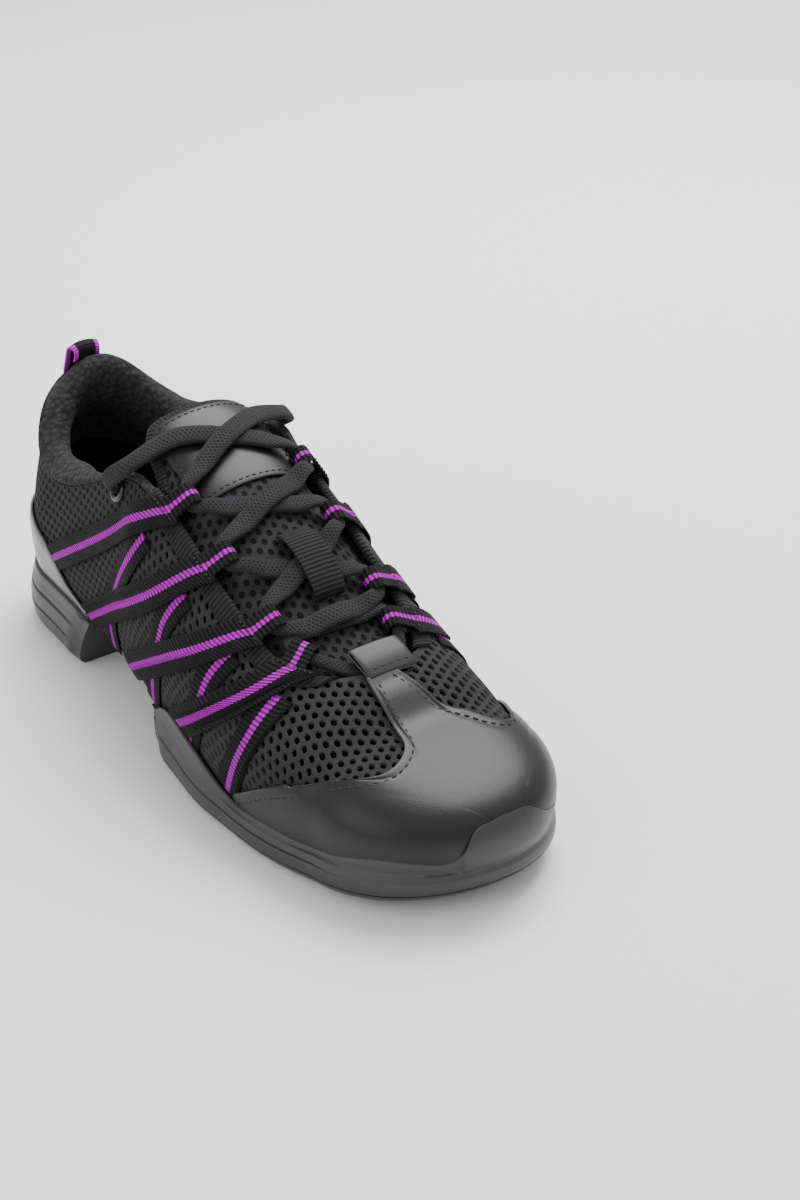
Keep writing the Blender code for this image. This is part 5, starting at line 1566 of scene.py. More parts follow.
            run.append(0.010 + deep)
        bm = lay(np.stack(rows, 1), g, np.array(run))
        obj = self.dresser.piece("collar_padding", bm, COLLAR_KNIT, "mesh", inside=None, levels=1,
                                 sharp=180)

    def collar_seam(self) -> None:
        """Stitches where the knit meets the mesh."""
        q = np.arange(LAST.share_q(0.42), LAST.q_end, 0.002)
        runs = []
        for side in (OUTER, INNER):
            g = side * q
            a = LAST.wall_length(g) - self.seam_down(g) - 0.0009
            runs.append((LAST.surf(g, a, 0.0004), LAST.normal(g, a)))
        self.dresser.stitches("collar_seam_stitches", runs, "mesh", 0.0017, 0.0009, 0.0005)

    def throat_tape(self, side: float) -> None:
        """Ribbed tape folded over the throat's edge.

        Args:
            side: Outer or inner side, -1 or 1.
        """
        q = np.arange(LAST.share_q(0.415), LAST.share_q(0.757), -0.0016)
        g = side * q
        full = LAST.wall_length(g)
        rows, run = [], []
        for part in (1.0, 0.8, 0.6, 0.4, 0.2, 0.06):
            rows.append(LAST.surf(g, full - self.tape * part, 0.0005 + 0.0003 * (part < 0.95)))
            run.append(-self.tape * part)
        over, under = LAST.surf(g, full, 0.0008), LAST.surf(g, full, -LAST.wall - 0.0004)
        up = unit(LAST.surf(g, full) - LAST.surf(g, full - 0.001))
        for t in (0.0, 0.2, 0.5, 0.8, 1.0):
            rows.append(over * (1 - t) + under * t + up * 0.0012 * math.sin(math.pi * t))
            run.append(0.003 * t)
        rows.append(LAST.surf(g, full - 0.004, -LAST.wall - 0.0004))
        run.append(0.007)
        bm = lay(np.stack(rows, 1), q, np.array(run))
        self.dresser.piece(f"throat_tape_{SIDE_WORD[side]}", bm, PLAIN_GROSGRAIN, "webbing",
                           thick=0.0004, offset=-1.0, sharp=70)

    def build(self) -> None:
        """The whole upper."""
        self.lining()
        self.collar()
        self.collar_seam()
        for side in (OUTER, INNER):
            self.panel(side)
            self.throat_tape(side)


@dataclass
class ToeCap:
    """The moulded leather cap and its folded strap over the throat's front."""

    dresser: Dresser
    lift: float = 0.0011
    thick: float = 0.0010
    pole: tuple[float, float] = (0.047, 0.001)
    rings: int = 44
    stitch_in: float = 0.0026
    strap_half: float = 0.0088
    strap_reach: float = 0.0400
    turn_row: int = 14
    edge_step: float = 0.0012
    stitch_sink: float = 0.00028
    fold: float = 0.0011

    def free_edges(self) -> list[tuple[Array, Array]]:
        """The two free edges laid flat, each as its lengths run and its points.

        Returns:
            The outer and the inner edge.
        """
        rows = np.array([(s * q * LAST.toe_radius, a * LAST.instep) for s, q, a in CAP_ROWS])
        flat = LAST.develop(rows[:, 0], rows[:, 1])
        return [(arc(part), part) for part in (flat[:self.turn_row], flat[self.turn_row:])]

    def outline(self) -> Array:
        """The cap's edge laid flat, closed along the sole, closely and evenly placed.

        Returns:
            The flat points.
        """
        parts = [refine(run, part, np.append(np.arange(0, run[-1], self.edge_step), run[-1]))
                 for run, part in self.free_edges()]
        top = np.linspace(parts[0][-1], parts[1][0], 14)[1:-1]
        last, first = (CAP_ROWS[k][0] * CAP_ROWS[k][1] * LAST.toe_radius for k in (-1, 0))
        foot = np.linspace(last, first, 130)[1:-1]
        low = LAST.develop(foot, LAST.rim_top(foot) - 0.0022)
        return np.concatenate([parts[0], top, parts[1], low])

    def cap(self) -> None:
        """The cap itself, from rings about a pole at the toe."""
        edge = self.outline()
        edge = np.concatenate([edge, edge[:1]])
        pole = np.array(self.pole)
        t = np.linspace(0, 1, self.rings) ** 0.85
        ray = np.linalg.norm(edge - pole, axis=1)
        flat = pole + (edge - pole)[:, None] * t[None, :, None]
        g, a = LAST.undevelop(flat)
        inward = ray[:, None] * (1 - t)[None]
        upper = a > LAST.rim_top(g) + 0.004
        groove = np.exp(-(((inward - self.stitch_in * 1.25) / 0.0012) ** 2))
        sink = self.stitch_sink * groove * upper
        points = LAST.surf(g, np.maximum(a, 0), self.lift - sink)
        bm = lay(points, arc(edge), 0.05)
        self.dresser.piece("toe_cap_leather", bm, COATED_LEATHER, "synthetic_leather",
                           ("toe_cap",), thick=self.thick, bevel=0.0003, rim=CUT_EDGE,
                           inside=(0.06, 0.0, 0.0), sharp=60)

    def edge_stitches(self) -> None:
        """The seam a little inside the cap's free edges."""
        runs = []
        for run, part in self.free_edges():
            line = refine(run, part, np.linspace(0, run[-1], 120))
            way = unit(np.gradient(line, axis=0))
            inside = line + np.stack([way[:, 1], -way[:, 0]], -1) * self.stitch_in
            g, a = LAST.undevelop(inside)
            keep = a > LAST.rim_top(g) + 0.001
            g, a = g[keep], a[keep]
            normals = LAST.normal(g, a)
            runs.append((LAST.surf(g, a, self.lift + self.thick - 0.0001), normals))
        self.dresser.stitches("toe_cap_stitches", runs, "synthetic_leather")

    def strap_top(self) -> None:
        """The folded end of the cap's strap, over the lowest bar of the lace."""
        across = np.linspace(-1, 1, 13) * self.strap_half
        start = LAST.throat + 0.012
        shares = start - np.linspace(0, 1, 16) * self.strap_reach
        rows = []
        for k, share in enumerate(shares):
            part = k / (len(shares) - 1)
            rise = 0.0026 - 0.0004 * (1 - part) + 0.0006 * math.sin(math.pi * part)
            rows.append(LAST.tongue_point(LAST.share_q(share), across, -rise + 0 * across))
        last, before = rows[-1], rows[-2]
        way = unit(last - before)
        down = unit(LAST.tongue_point(LAST.share_q(shares[-1]), across, 0.002 + 0 * across)
                    - LAST.tongue_point(LAST.share_q(shares[-1]), across, 0 * across))
        for turn in range(20, 181, 20):
            angle = math.radians(turn)
            rows.append(last + way * self.fold * math.sin(angle)
                        + down * self.fold * (1 - math.cos(angle)))
        for back in (0.003, 0.007, 0.011):
            rows.append(last - way * back + down * 2 * self.fold)
        bm = lay(np.stack(rows, 0), 0.05, 2 * self.strap_half)
        self.dresser.piece("toe_cap_strap_top", bm, COATED_LEATHER, "synthetic_leather",
                           thick=0.0007, offset=0.0, bevel=0.0002, rim=CUT_EDGE, sharp=60,
                           inside=(0.05, 0.0, 0.0))
        share = LAST.throat + 0.004
        line = LAST.tongue_point(LAST.share_q(share), across[1:-1], -0.0030 + 0 * across[1:-1])
        normals = np.tile((0.3, 0.0, 0.95), (len(line), 1))
        self.dresser.stitches("strap_top_stitches", [(line, normals)], "synthetic_leather")

    def build(self) -> None:
        """The cap, its stitches and its strap top."""
        self.cap()
        self.edge_stitches()
        self.strap_top()


@dataclass
class Webbing:
    """Striped straps with their lace loops, and the zigzag ribbons under them."""

    dresser: Dresser
    width: float = 0.0105
    thick: float = 0.0008
    low_lift: float = 0.0016
    top_lift: float = 0.00235
    ribbon_lift: float = 0.00078
    reach: float = 0.0080
    turn: float = 0.0029
    taper: float = 0.80
    inner_steeper: float = 0.35
    past: float = 0.004
    rows_up: int = 30
    loop_in: tuple[float, ...] = (0.0018, 0.0034, 0.0050, 0.0066)
    loop_back: tuple[float, ...] = (0.005, 0.002, -0.0015)

    def path(self, row: tuple, side: float) -> list:
        """Distance round the last and height of a strap, sole to past the edge.

        Args:
            row: The band's row in its table.
            side: Outer or inner side, -1 or 1.

        Returns:
            The places that the strap passes.
        """
        _, s0, a0, s1, a1, s2 = row
        q2 = LAST.share_q(s2)
        outer, edge = LAST.wall_length(np.array([-q2, side * q2]))
        if side > 0:
            s1 += (s2 - s1) * self.inner_steeper
        p0 = (LAST.share_q(s0), a0 * LAST.instep)
        p1 = (LAST.share_q(s1), a1 * LAST.instep * edge / outer)
        way = np.array([q2 - p1[0], edge - p1[1]])
        way = way / np.linalg.norm(way)
        return [p0, p1, (q2, edge), (q2 + way[0] * self.past, edge + way[1] * self.past)]

    def columns(self, path: list, side: float, cols: Array, count: int,
                to_edge: bool) -> list:
        """Columns of a band on the wall, tucked under the sole and cut at the throat.

        Args:
            path: Distances and heights that the band passes.
            side: Outer or inner side, -1 or 1.
            cols: Columns, from -1 to 1.
            count: Rows that it is cut into.
            to_edge: Whether it ends on the throat's edge.

        Returns:
            Stations and heights of each column.
        """
        path = np.array(path)
        knots = np.linspace(0, 1, len(path))
        t = np.linspace(0, 1, 241)
        q, a = smooth(knots, path[:, 0], t), smooth(knots, path[:, 1], t)
        dq, da = np.gradient(q), np.gradient(a)
        size = np.hypot(dq, da)
        made = []
        for c in cols:
            off = c * self.width / 2
            cq, ca = q - da / size * off, a + dq / size * off
            low, full = LAST.covered(side * cq), LAST.wall_length(side * cq)
            keep = np.where((ca >= low - 0.0008) & (ca <= full))[0]
            at = np.linspace(keep[0], keep[-1], count)
            qs, heights = (np.interp(at, np.arange(len(t)), k) for k in (cq, ca))
            if to_edge:
                end = LAST.wall_length(np.array([side * qs[-1]]))[0]
                heights[-1] = min(end, heights[-1] + 0.002)
            made.append((side * qs, heights))
        return made

    def loop_frame(self, row: tuple, side: float) -> Arrays:
        """Edge point, inward direction, normal and direction to the toe of a loop.

        Args:
            row: The band's row in its table.
            side: Outer or inner side, -1 or 1.

        Returns:
            The point and the directions.
        """
        g = np.array([side * LAST.share_q(row[5])])
        full = LAST.wall_length(g)
        edge = LAST.surf(g, full)[0]
        n = unit(LAST.surf(g, full, 0.001)[0] - edge)
        ahead, behind = g - side * 0.004, g + side * 0.004
        along = LAST.surf(ahead, LAST.wall_length(ahead)) - LAST.surf(behind,
                                                                      LAST.wall_length(behind))
        along = along[0] - n * along[0].dot(n)
        along = unit(along)
        return edge, np.cross(n, along) * -side, n, along

    def strap(self, row: tuple, side: float) -> None:
        """One strap from the sole to the throat, and its loop round the lace.

        Args:
            row: The band's row in its table.
            side: Outer or inner side, -1 or 1.
        """
        cols = np.linspace(-1, 1, 9)
        count = self.rows_up
        wall = self.columns(self.path(row, side), side, cols, count, True)
        lift = self.low_lift - 0.0006 * (1 - step01(np.arange(count), 0, 3))
        lift = lift + (self.top_lift - self.low_lift) * step01(np.arange(count), 14, count - 1)
        rows = list(np.stack([LAST.surf(g, a, lift) for g, a in wall], 1))
        edge, d, n, toe = self.loop_frame(row, side)
        sign = math.copysign(1.0, (rows[-1][-1] - rows[-1][0]).dot(toe))
        tops = np.array([edge + toe * sign * self.width / 2 * self.taper * c for c in cols])

        def ring(reach: float, turn: float) -> Array:
            """A row of the loop at a reach past the edge and an angle round its end.

            Args:
                reach: Distance past the throat's edge.
                turn: Angle round the loop's end.

            Returns:
                The row.
            """
            centre = d * (reach + self.turn * math.sin(turn))
            centre = centre + n * (self.top_lift - self.turn + self.turn * math.cos(turn))
            return tops + centre

        for reach in self.loop_in:
            rows.append(ring(reach, 0.0))
        for k in range(11):
            rows.append(ring(self.reach, math.pi * k / 10))
        for reach in self.loop_back:
            rows.append(ring(reach, math.pi))
        points = np.stack(rows, 0)
        bm = lay(points, arc(points[:, 4]), self.width)
        name = f"strap_{SIDE_WORD[side]}_{row[0]}"
        self.dresser.piece(f"{name}_webbing", bm, GROSGRAIN, "webbing", (name,), thick=self.thick,
                           offset=0.0, bevel=0.00018, sharp=60)
        line = (rows[count - 1] * 0.35 + rows[count - 2] * 0.65) + n * 0.0005
        line = line[0] + (line[-1] - line[0]) * np.linspace(0.04, 0.96, 12)[:, None]
        self.bars.append((line, np.tile(n, (12, 1))))

    def ribbon(self, row: tuple, side: float) -> None:
        """One ribbon flat on the mesh.

        Args:
            row: The band's row in its table.
            side: Outer or inner side, -1 or 1.
        """
        path = [(LAST.share_q(row[i]), row[i + 1] * LAST.instep) for i in range(1, len(row), 2)]
        wall = self.columns(path[::-1], side, np.linspace(-1, 1, 9), 26, False)
        points = np.stack([LAST.surf(g, a, self.ribbon_lift) for g, a in wall], 1)
        bm = lay(points, arc(points[:, 4]), self.width)
        name = f"ribbon_{SIDE_WORD[side]}_{row[0]}"
        self.dresser.piece(f"{name}_webbing", bm, GROSGRAIN, "webbing", (name,),
                           thick=0.0005, offset=0.0, sharp=60)

    def build(self) -> None:
        """All straps and ribbons, with the bar of stitches at each loop."""
        self.bars: list = []
        for side in (OUTER, INNER):
            for row in RIBBON_ROWS:
                self.ribbon(row, side)
            for row in STRAP_ROWS:
                self.strap(row, side)
        self.dresser.stitches("loop_bar_stitches", self.bars, "webbing", 0.0013, 0.0006)


@dataclass
class Tongue:
    """The padded mesh tongue with its bound edge, leather patch and webbing keeper."""

    dresser: Dresser
    thick: float = 0.0034
    puff: float = 0.0007
    binding: float = 0.0034
    patch_shares: tuple[float, float] = (0.342, 0.474)
    patch_half: float = 0.0232
    keeper_half: float = 0.0062
    keeper_rise: float = 0.0060
    keeper_reach: float = 0.045
    columns: tuple[float, ...] = (-1, -0.97, -0.9, -0.8, -0.6, -0.4, -0.2, 0, 0.2, 0.4, 0.6, 0.8,
                                  0.9, 0.97, 1.0)

    def body(self) -> None:
        """The tongue itself, softly crowned and closed at its edges."""
        shares = np.concatenate([np.linspace(0.790, 0.40, 60), np.linspace(0.395, 0.3335, 14)])
        cols = np.array(self.columns)
        wide = LAST.tongue_half(shares[:, None], cols) * cols
        crown = self.puff * (1 - np.abs(cols) ** 4) * (shares < 0.74)[:, None]
        top = LAST.on_tongue(shares[:, None], wide, crown - 0.0003)[0]
        low = LAST.on_tongue(shares[:, None], wide * 0.985, -self.thick + 0.0002 + 0 * crown)[0]
        ring = np.concatenate([top, low[:, ::-1], top[:, :1]], 1)
        run = np.concatenate([wide[30], wide[30][::-1] * 0.98 + 0.08, [0.2]])
        bm = lay(ring, (0.79 - shares) * LAST.length, run)
        cap_open_ends(bm)
        obj = self.dresser.piece("tongue_padding", bm, TONGUE_MESH, "tongue_mesh", ("tongue",),
                                 inside=None, sharp=80)

    def bound_edge(self) -> None:
        """Folded tape round the tongue's sides and top."""
        shares = np.concatenate([np.linspace(0.70, 0.345, 60), np.linspace(0.342, 0.3315, 7)])
        lines = []
        for side in (OUTER, INNER):
            half = LAST.tongue_half(shares, side) * side
            lines.append((shares, half))
        top = np.linspace(lines[0][1][-1], lines[1][1][-1], 24)[1:-1]
        s = np.concatenate([shares, np.full(22, shares[-1] - 0.0012), shares[::-1]])
        w = np.concatenate([lines[0][1], top, lines[1][1][::-1]])
        outer, n = LAST.on_tongue(s, w, -self.thick / 2)
        for _ in range(3):
            outer[1:-1] = (outer[:-2] + 2 * outer[1:-1] + outer[2:]) / 4
        way = unit(np.gradient(outer, axis=0))
        out = unit(np.cross(way, n))
        middle = LAST.on_tongue(np.array([0.5]), np.array([0.0]), 0.0)[0][0]
        if (out[20] * (outer[20] - middle)).sum() < 0:
            out = -out
        rows = []
        half = self.thick / 2 + 0.0006
        for reach, height in ((-self.binding, half), (-self.binding * 0.5, half + 0.0001),
                              (-0.0004, half), (0.0007, half * 0.6), (0.0010, 0.0),
                              (0.0007, -half * 0.6), (-0.0004, -half), (-self.binding, -half)):
            rows.append(outer + out * reach + n * height)
        bm = lay(np.stack(rows, 1), arc(outer), 0.009)
        self.dresser.piece("tongue_binding", bm, PLAIN_GROSGRAIN, "webbing", thick=0.0003,
                           offset=-1.0, inside=tuple(middle - (0, 0, 0.002)), sharp=80)
        line = outer - out * (self.binding - 0.0009) + n * (half + 0.0002)
        self.dresser.stitches("tongue_binding_stitches", [(line, n)], "webbing", 0.0016, 0.0010,
                              0.00045)

    def patch(self) -> None:
        """The smooth leather patch at the tongue's top, left bare."""
        s = np.linspace(*self.patch_shares, 40)[::-1]
        t = np.linspace(-1, 1, 40)
        half = self.patch_half * (1 - 0.16 * np.abs(t) ** 6)
        cols = np.linspace(-1, 1, 25)
        wide = half[:, None] * cols
        lift = 0.0010 + 0.0005 * (1 - np.maximum(np.abs(cols), np.abs(t[:, None])) ** 6)
        points = LAST.on_tongue(s[:, None], wide, lift)[0]
        bm = lay(points, 0.034, 0.046)
        self.dresser.piece("tongue_patch_leather", bm, COATED_LEATHER, "synthetic_leather",
                           ("tongue_patch",), thick=0.0007, offset=0.0, bevel=0.0002, sharp=60)
        edge_s = np.concatenate([s[2:-2], np.full(24, s[-3]), s[2:-2][::-1], np.full(24, s[2])])
        side = half[2:-2] - 0.0016
        ends = np.linspace(-1, 1, 26)[1:-1]
        edge_w = np.concatenate([side, -ends * side[-1], -side[::-1], ends * side[0]])
        line, normals = LAST.on_tongue(edge_s, edge_w, 0.0017)
        self.dresser.stitches("patch_stitches", [(line, normals)], "synthetic_leather", 0.0016,
                              0.0010, 0.0004)

    def keeper(self, ends: float) -> None:
        """The ribbed webbing bridge that holds the lace to the tongue.

        Args:
            ends: Share at the keeper's middle.
        """
        s = np.linspace(ends + self.keeper_reach, ends - self.keeper_reach, 40)
        cols = np.linspace(-1, 1, 9)
        hump = self.keeper_rise * np.sin(np.linspace(0, math.pi, len(s))) ** 0.45
        points = LAST.on_tongue(s[:, None], cols * self.keeper_half, hump[:, None] + 0.0010)[0]
        bm = lay(points, arc(points[:, 4]), 2 * self.keeper_half)
        self.dresser.piece("lace_keeper_webbing", bm, PLAIN_GROSGRAIN, "webbing",
                           ("lace_keeper",), thick=0.0008, offset=0.0, bevel=0.00018, sharp=60)

    def build(self, keeper_at: float) -> None:
        """The tongue with all that is sewn to it.

        Args:
            keeper_at: Share at the keeper's middle.
        """
        self.body()
        self.bound_edge()
        self.patch()
        self.keeper(keeper_at)


@dataclass
class Lacing:
    """The flat lace, crossed over and under between the loops and eyelets."""

    dresser: Dresser
    webbing: Webbing
    wide: float = 0.0072
    thick: float = 0.0026
    clear: float = 0.0009
    in_loop: tuple[float, float] = (0.0040, 0.0030)
    bar_share: float = 0.7440
    over: float = 0.0017
    under: float = 0.0009
    eyelet_share: float = 0.331
    eyelet_down: float = 0.0056
    beside_loop: float = 0.0060
    past_loop: float = 0.0052
    round_length: float = 0.0175
    eyelet_section: tuple = ((0.0033, 0.0005), (0.0046, 0.0006), (0.0048, 0.0009),
                             (0.0045, 0.0013), (0.0039, 0.00155), (0.0032, 0.0014),
                             (0.0027, 0.0010), (0.0025, 0.0004))

    def hub(self, k: int, side: float) -> Arrays:
        """Middle of a strap's loop with its inward, outward and toe directions.

        Args:
            k: Index of the strap.
            side: Outer or inner side, -1 or 1.

        Returns:
            The point and the directions.
        """
        web = self.webbing
        edge, d, n, toe = web.loop_frame(STRAP_ROWS[k], side)
        return edge + d * (web.reach - 0.0018) + n * (web.top_lift - web.turn), d, n, toe

    def beside(self, k: int, side: float, ahead: float) -> tuple[Array, Array]:
        """Where the lace lies beside a loop, ahead of it or behind, and its normal."""
        hub, d, n, toe = self.hub(k, side)
        return hub + toe * ahead * self.beside_loop + d * self.past_loop - n * 0.0010, n

    def keeper_at(self) -> float:
        """Share of the last at the middle of the keeper.

        Returns:
            The share.
        """
        ends = [LAST.near_tongue(self.beside(k, side, ahead)[0], 0.003)[0]
                for k, ahead in ((2, -1), (1, 1)) for side in (OUTER, INNER)]
        return sum(ends) / len(ends)

    def eyelet_frame(self, side: float) -> Arrays:
        """Centre, outward, upward and sideways directions of an eyelet.

        Args:
            side: Outer or inner side, -1 or 1.

        Returns:
            The point and the directions.
        """
        g = np.array([side * LAST.share_q(self.eyelet_share)])
        a = LAST.wall_length(g) - self.eyelet_down
        centre = LAST.surf(g, a)[0]
        n = unit(LAST.surf(g, a, 0.001)[0] - centre)
        u = LAST.surf(g, a + 0.002)[0] - centre
        u = unit(u - n * u.dot(n))
        return centre, n, u, np.cross(n, u)

    def rows(self, first_side: float) -> Array:
        """Centre line, normals and section of one half of the lace.

        Args:
            first_side: Side of the first loop.

        Returns:
            One row for each knot.
        """
        rows: list = []
        half_t = self.thick / 2

        def add(p: Array, n: Array, wide: float = self.wide,
                thick: float = self.thick) -> None:
            """One row of the lace's way."""
            rows.append([*p, *n, wide, thick])

        side = first_side
        on_top = first_side < 0
        for across in (-0.0030, 0.0035, 0.0085):
            add(*LAST.on_tongue(self.bar_share, side * across, self.clear + half_t), 0.0056)
        for k in (3, 2, 1, 0):
            hub, d, n, toe = self.hub(k, side)
            half_loop = self.webbing.width * 0.25
            add(hub + toe * (half_loop + 0.0008) + d * 0.0007, n, *self.in_loop)
            add(hub, n, *self.in_loop)
            add(hub - toe * (half_loop + 0.0008) + d * 0.0007, n, *self.in_loop)
            rise = self.clear + half_t + (0.0 if k else 0.0014)
            out, n = self.beside(k, side, -1)
            add(out, n, self.wide * 0.75, self.thick)
            leave = LAST.near_tongue(out, rise)
            arrive = np.array([self.eyelet_share + 0.046, -side * 0.0170])
            if k:
                back, n = self.beside(k - 1, -side, 1)
                arrive = LAST.near_tongue(back, rise)
            for t in (0.2, 0.35, 0.5, 0.65, 0.8):
                share, across = leave * (1 - t) + arrive * t
                bow = math.exp(-(((t - 0.5) / 0.24) ** 2))
                extra = (self.over if on_top else -self.under) * bow
                add(*LAST.on_tongue(share, across, rise + 0.0004 + extra))
            if k:
                add(back, n, self.wide * 0.75, self.thick)
            else:
                add(*LAST.on_tongue(*arrive, rise + 0.0004))
            side = -side
            on_top = side < 0
        centre, n, u, _ = self.eyelet_frame(side)
        g = np.array([side * LAST.share_q(self.eyelet_share + 0.030)])
        full = LAST.wall_length(g)
        crest, lifted = LAST.surf(g, full - 0.0005)[0], LAST.surf(g, full - 0.0005, 0.0042)[0]
        way = unit(lifted - crest)
        add(lifted + u * 0.0022, way, 0.0070, self.thick)
        add(centre + n * 0.0048 + u * 0.0022, n * 0.7 - u * 0.7, 0.0060, 0.0030)
        add(centre + n * 0.0022, -u, 0.0050, 0.0036)
        add(centre - n * 0.0016, -u, *self.in_loop)
        return np.array(rows)

    def half(self, name: str, first_side: float, nodes: Sequence[str]) -> None:
        """One half of the lace as a closed, slightly pillowed strand.

        Args:
            name: Name of the piece.
            first_side: Side of the first loop.
            nodes: CAD nodes that it stands for.
        """
        rows = self.rows(first_side)
        gap = np.linalg.norm(np.diff(rows[:, :3], axis=0), axis=1) ** 0.6
        knots = np.concatenate([[0], np.cumsum(gap)])
        fine = np.interp(np.linspace(0, len(knots) - 1, 24 * len(knots)), range(len(knots)), knots)
        line = refine(knots, rows, fine)
        run = arc(line[:, :3])
        even = np.linspace(0, run[-1], round(run[-1] / 0.0011))
        line = np.stack([np.interp(even, run, line[:, k]) for k in range(line.shape[1])], -1)
        for _ in range(4):
            line[1:-1] = (line[:-2] + 2 * line[1:-1] + line[2:]) / 4
        p = line[:, :3]
        way = unit(np.gradient(p, axis=0))
        n = line[:, 3:6]
        n = unit(n - way * (n * way).sum(1, keepdims=True))
        b = np.cross(way, n)
        turn = np.linspace(0, 2 * math.pi, 17)
        c, s = np.cos(turn), np.sin(turn)
        flat_x, flat_y = np.sign(c) * np.abs(c) ** 0.7, np.sign(s) * np.abs(s) ** 0.75
        wide, thick = line[:, 6, None, None] / 2, line[:, 7, None, None] / 2
        points = (p[:, None] + b[:, None] * wide * flat_x[None, :, None]
                  + n[:, None] * thick * flat_y[None, :, None])
        around = turn / (2 * math.pi) * self.round_length
        bm = lay(points, even, around)
        cap_open_ends(bm)
        self.dresser.piece(name, bm, LACE_KNIT, "lace_cord", nodes, inside=None, sharp=80)

    def eyelet(self, side: float) -> None:
        """One turned eyelet with a rolled flange and a washer inside.

        Args:
            side: Outer or inner side, -1 or 1.
        """
        centre, n, u, w = self.eyelet_frame(side)
        bm = bmesh.new()
        foot = -(LAST.wall + 0.0007)
        section = ((0.0025, foot), (0.0033, foot), *self.eyelet_section)
        verts = [bm.verts.new((r, 0.0, h)) for r, h in section]
        edges = [bm.edges.new((verts[i - 1], verts[i])) for i in range(len(verts))]
        bmesh.ops.spin(bm, geom=[*verts, *edges], cent=(0, 0, 0), axis=(0, 0, 1),
                       angle=2 * math.pi, steps=40, use_merge=True)
        turn = Matrix(np.stack([u, w, n], 1)).to_4x4()
        bmesh.ops.transform(bm, verts=bm.verts, matrix=Matrix.Translation(Vector(centre)) @ turn)
        word = SIDE_WORD[side]
        self.dresser.piece(f"eyelet_{word}_metal", bm, EYELET_LACQUER, "eyelet_metal",
                           (f"eyelet_{word}",), inside=None, sharp=50)

    def build(self) -> None:
        """Both halves of the lace and both eyelets."""
        self.half("lace_from_outer", OUTER, ("laces",))
        self.half("lace_from_inner", INNER, ("laces",))
        for side in (OUTER, INNER):
            self.eyelet(side)


@dataclass
class HeelTrim:
    """The heel cup and the pull loop."""

    dresser: Dresser
    cup_lift: float = 0.0006
    cup_thick: float = 0.0010
    pull_width: float = 0.0160
    pull_turn: float = 0.0022
    pull_lift: float = 0.0026
    pull_top: float = 0.0082
    pull_sewn: tuple = ((0.0130, 0.00075), (0.011, 0.00075), (0.0085, 0.00075), (0.006, 0.0009),
                        (0.004, 0.0013), (0.002, 0.0022), (0.0005, 0.0026))
    pull_up: tuple[float, ...] = (0.002, 0.0035, 0.005, 0.0065, 0.0075)
    pull_down: tuple[float, ...] = (0.0075, 0.0066, 0.0058)

    def cup(self) -> None:
        """The thin moulded cup round the heel, with a soft ridge near its edge."""
        g = round_heel(evenly(np.arange(LAST.share_q(0.250), LAST.q_end, 0.0018), LAST.q_end))
        low, high = LAST.rim_top(g) - 0.0012, LAST.cup_edge(g)
        v = np.array([0, 0.15, 0.35, 0.55, 0.75, 0.86, 0.93, 1.0])
        a = np.maximum(low[:, None] + (high - low)[:, None] * v, 0)
        ridge = 0.0004 * np.exp(-(((v - 0.86) / 0.08) ** 2))
        points = LAST.surf(g[:, None] + 0 * v, a, self.cup_lift + ridge)
        bm = lay(points, g, 0.02)
        self.dresser.piece("heel_cup_film", bm, CUP_FILM, "heel_cup_film", ("heel_cup",),
                           thick=self.cup_thick, bevel=0.0003, sharp=60,
                           inside=(-0.1, 0.0, 0.015))

    def pull(self) -> None:
        """The webbing loop that stands on the heel's top."""
        cols = np.linspace(-1, 1, 11)
        reach = self.pull_width / 2
        g = np.where(cols < 0, -LAST.q_end - reach * cols, LAST.q_end - reach * cols)
        full = LAST.wall_length(g)
        rows = [LAST.surf(g, full - back, raised) for back, raised in self.pull_sewn]
        base = LAST.surf(g, full, self.pull_lift)
        face = unit(LAST.surf(g, full, self.pull_lift + 0.0004) - base)
        up = unit(base - LAST.surf(g, full - 0.003, self.pull_lift))

        def ring(height: float, turn: float) -> Array:
            """A row of the loop at a height and an angle round its top."""
            centre = base + up * (height + self.pull_turn * math.sin(turn))
            return centre - face * self.pull_turn * (1 - math.cos(turn))

        for height in self.pull_up:
            rows.append(ring(height, 0.0))
        for k in range(13):
            rows.append(ring(self.pull_top, math.pi * k / 12))
        for height in self.pull_down:
            rows.append(ring(height, math.pi))
        points = np.stack(rows, 0)
        bm = lay(points, arc(points[:, 5]), self.pull_width)
        self.dresser.piece("pull_loop_webbing", bm, PULL_GROSGRAIN, "webbing", ("pull_loop",),
                           thick=0.0008, offset=0.0, bevel=0.00018, sharp=60,
                           inside=(-0.11, 0.0, 0.08))

    def build(self) -> None:
        """The cup and the loop."""
        self.cup()
        self.pull()


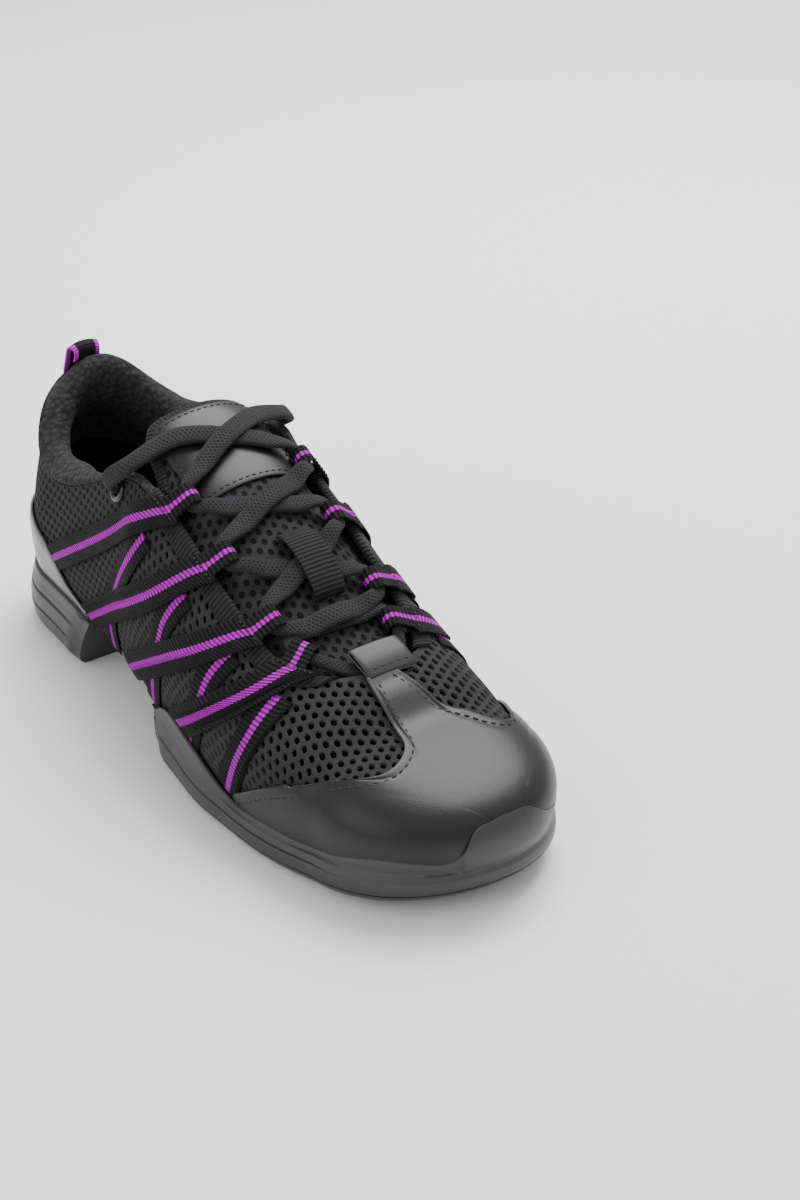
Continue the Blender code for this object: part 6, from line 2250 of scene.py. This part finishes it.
@dataclass
class Studio:
    """Camera, pale floor and soft lights."""

    dresser: Dresser
    azimuth: float = 54.03
    elevation: float = 30.29
    roll: float = 0.10
    distance: float = 0.7888
    focal_px: float = 2236.3
    long_px: float = 1200.0
    target: tuple[float, float, float] = (0.01195, 0.04807, 0.03917)
    lit: tuple[float, float, float] = (0.0, 0.0, 0.03)
    key: tuple = ((0.25, 1.1, -0.55), 0.9, 30.0)
    fill: tuple = ((-0.9, 0.8, 0.9), 1.2, 7.0)
    floor_half: float = 3.0
    sky: str = "#f2f1f1"

    def axes(self) -> tuple[Vector, Vector, Vector]:
        """Right, up and back directions of the camera.

        Returns:
            The three directions.
        """
        a, e = math.radians(self.azimuth), math.radians(self.elevation)
        back = Vector((math.sin(a) * math.cos(e), -math.cos(a) * math.cos(e), math.sin(e)))
        right = Vector((math.cos(a), math.sin(a), 0.0))
        up = back.cross(right)
        turn = Matrix.Rotation(math.radians(self.roll), 3, back)
        return turn @ right, turn @ up, back

    def camera(self) -> None:
        """The camera at the photograph's angle."""
        right, up, back = self.axes()
        data = bpy.data.cameras.new("photo_camera")
        data.sensor_width = 36.0
        data.lens = self.focal_px / self.long_px * data.sensor_width
        data.clip_start, data.clip_end = 0.05, 20.0
        cam = bpy.data.objects.new("photo_camera", data)
        bpy.context.scene.collection.objects.link(cam)
        at = Vector(self.target) + Vector(self.dresser.shift)
        turn = Matrix((right, up, back)).transposed().to_4x4()
        cam.matrix_world = Matrix.Translation(at + back * self.distance) @ turn
        bpy.context.scene.camera = cam

    def light(self, name: str, offset: tuple[float, float, float], size: float,
              power: float) -> None:
        """A soft square light at a place along the camera's right, the world's up and back.

        Args:
            name: Name of the light.
            offset: Place along the camera's right, up and the level back.
            size: Side in metres.
            power: Power in watts.
        """
        right, _, back = self.axes()
        level = Vector((back.x, back.y, 0)).normalized()
        at = Vector(self.lit) + right * offset[0] + Vector((0, 0, offset[1]))
        at = at + level * offset[2]
        data = bpy.data.lights.new(name, "AREA")
        data.size, data.energy = size, power
        lamp = bpy.data.objects.new(name, data)
        lamp.location = at
        lamp.rotation_mode = "QUATERNION"
        lamp.rotation_quaternion = (at - Vector(self.lit)).to_track_quat("Z", "Y")
        bpy.context.scene.collection.objects.link(lamp)

    def build(self) -> None:
        """Camera, floor, lights and an even sky."""
        self.camera()
        bm = bmesh.new()
        bmesh.ops.create_grid(bm, x_segments=4, y_segments=4, size=self.floor_half)
        mesh = bpy.data.meshes.new("studio_floor")
        bm.to_mesh(mesh)
        bm.free()
        floor = bpy.data.objects.new("studio_floor", mesh)
        mesh.materials.append(STUDIO_FLOOR.build())
        bpy.context.scene.collection.objects.link(floor)
        floor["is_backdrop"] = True
        self.light("key_light", *self.key)
        self.light("fill_light", *self.fill)
        world = bpy.data.worlds.new("studio")
        world.use_nodes = True
        sky = world.node_tree.nodes["Background"]
        sky.inputs["Color"].default_value = linear(self.sky)
        sky.inputs["Strength"].default_value = 1.0
        bpy.context.scene.world = world


def dress_kept_nodes(nodes: dict[str, Object]) -> None:
    """Give the CAD nodes that stay in view their own materials.

    Args:
        nodes: Nodes by name.
    """
    for name, finish in (("insole", INSOLE_CLOTH), ("lasting_board", FIBRE_BOARD)):
        mat = finish.build()
        slots = nodes[name].material_slots
        if not slots:
            nodes[name].data.materials.append(mat)
        for slot in slots:
            slot.material = mat


def frame_shift() -> tuple[float, float, float]:
    """How far the frame's origin lies from the last's, from the insole's corner.

    Returns:
        The shift in metres.
    """
    q = np.unique(np.concatenate([np.linspace(0, LAST.q_toe, 7),
                                  np.linspace(LAST.q_toe, LAST.q_side, 13),
                                  np.linspace(LAST.q_side, LAST.q_end, 7)]))
    g = both_sides(q)
    z = LAST.feather(g)
    points = np.concatenate([LAST.beside(g, -0.0030, z=z + h) for h in (0.0021, 0.0046)])
    low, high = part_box("insole")
    found = (np.array(low) - points.min(0) + np.array(high) - points.max(0)) / 2
    LOG.info("frame shift: %s", np.round(found * 1000, 3))
    return tuple(float(k) for k in found)


def main() -> None:
    """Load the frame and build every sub-assembly on it."""
    logging.basicConfig(level=logging.INFO, format="%(message)s")
    for obj in list(bpy.data.objects):
        bpy.data.objects.remove(obj)
    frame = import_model()
    cad_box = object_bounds()
    dresser = Dresser(frame_shift())
    Studio(dresser).build()
    dress_kept_nodes(frame["nodes"])
    SoleUnits(dresser).build()
    MeshUpper(dresser).build()
    ToeCap(dresser).build()
    webbing = Webbing(dresser)
    webbing.build()
    lacing = Lacing(dresser, webbing)
    Tongue(dresser).build(lacing.keeper_at())
    lacing.build()
    HeelTrim(dresser).build()
    new_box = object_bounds()
    sizes = {"cad": [list(k) for k in cad_box], "visual": [list(k) for k in new_box]}
    for word, box in sizes.items():
        LOG.info("%s box: %s to %s", word, *(np.round(np.array(k) * 1000, 1) for k in box))


if __name__ == "__main__":
    main()
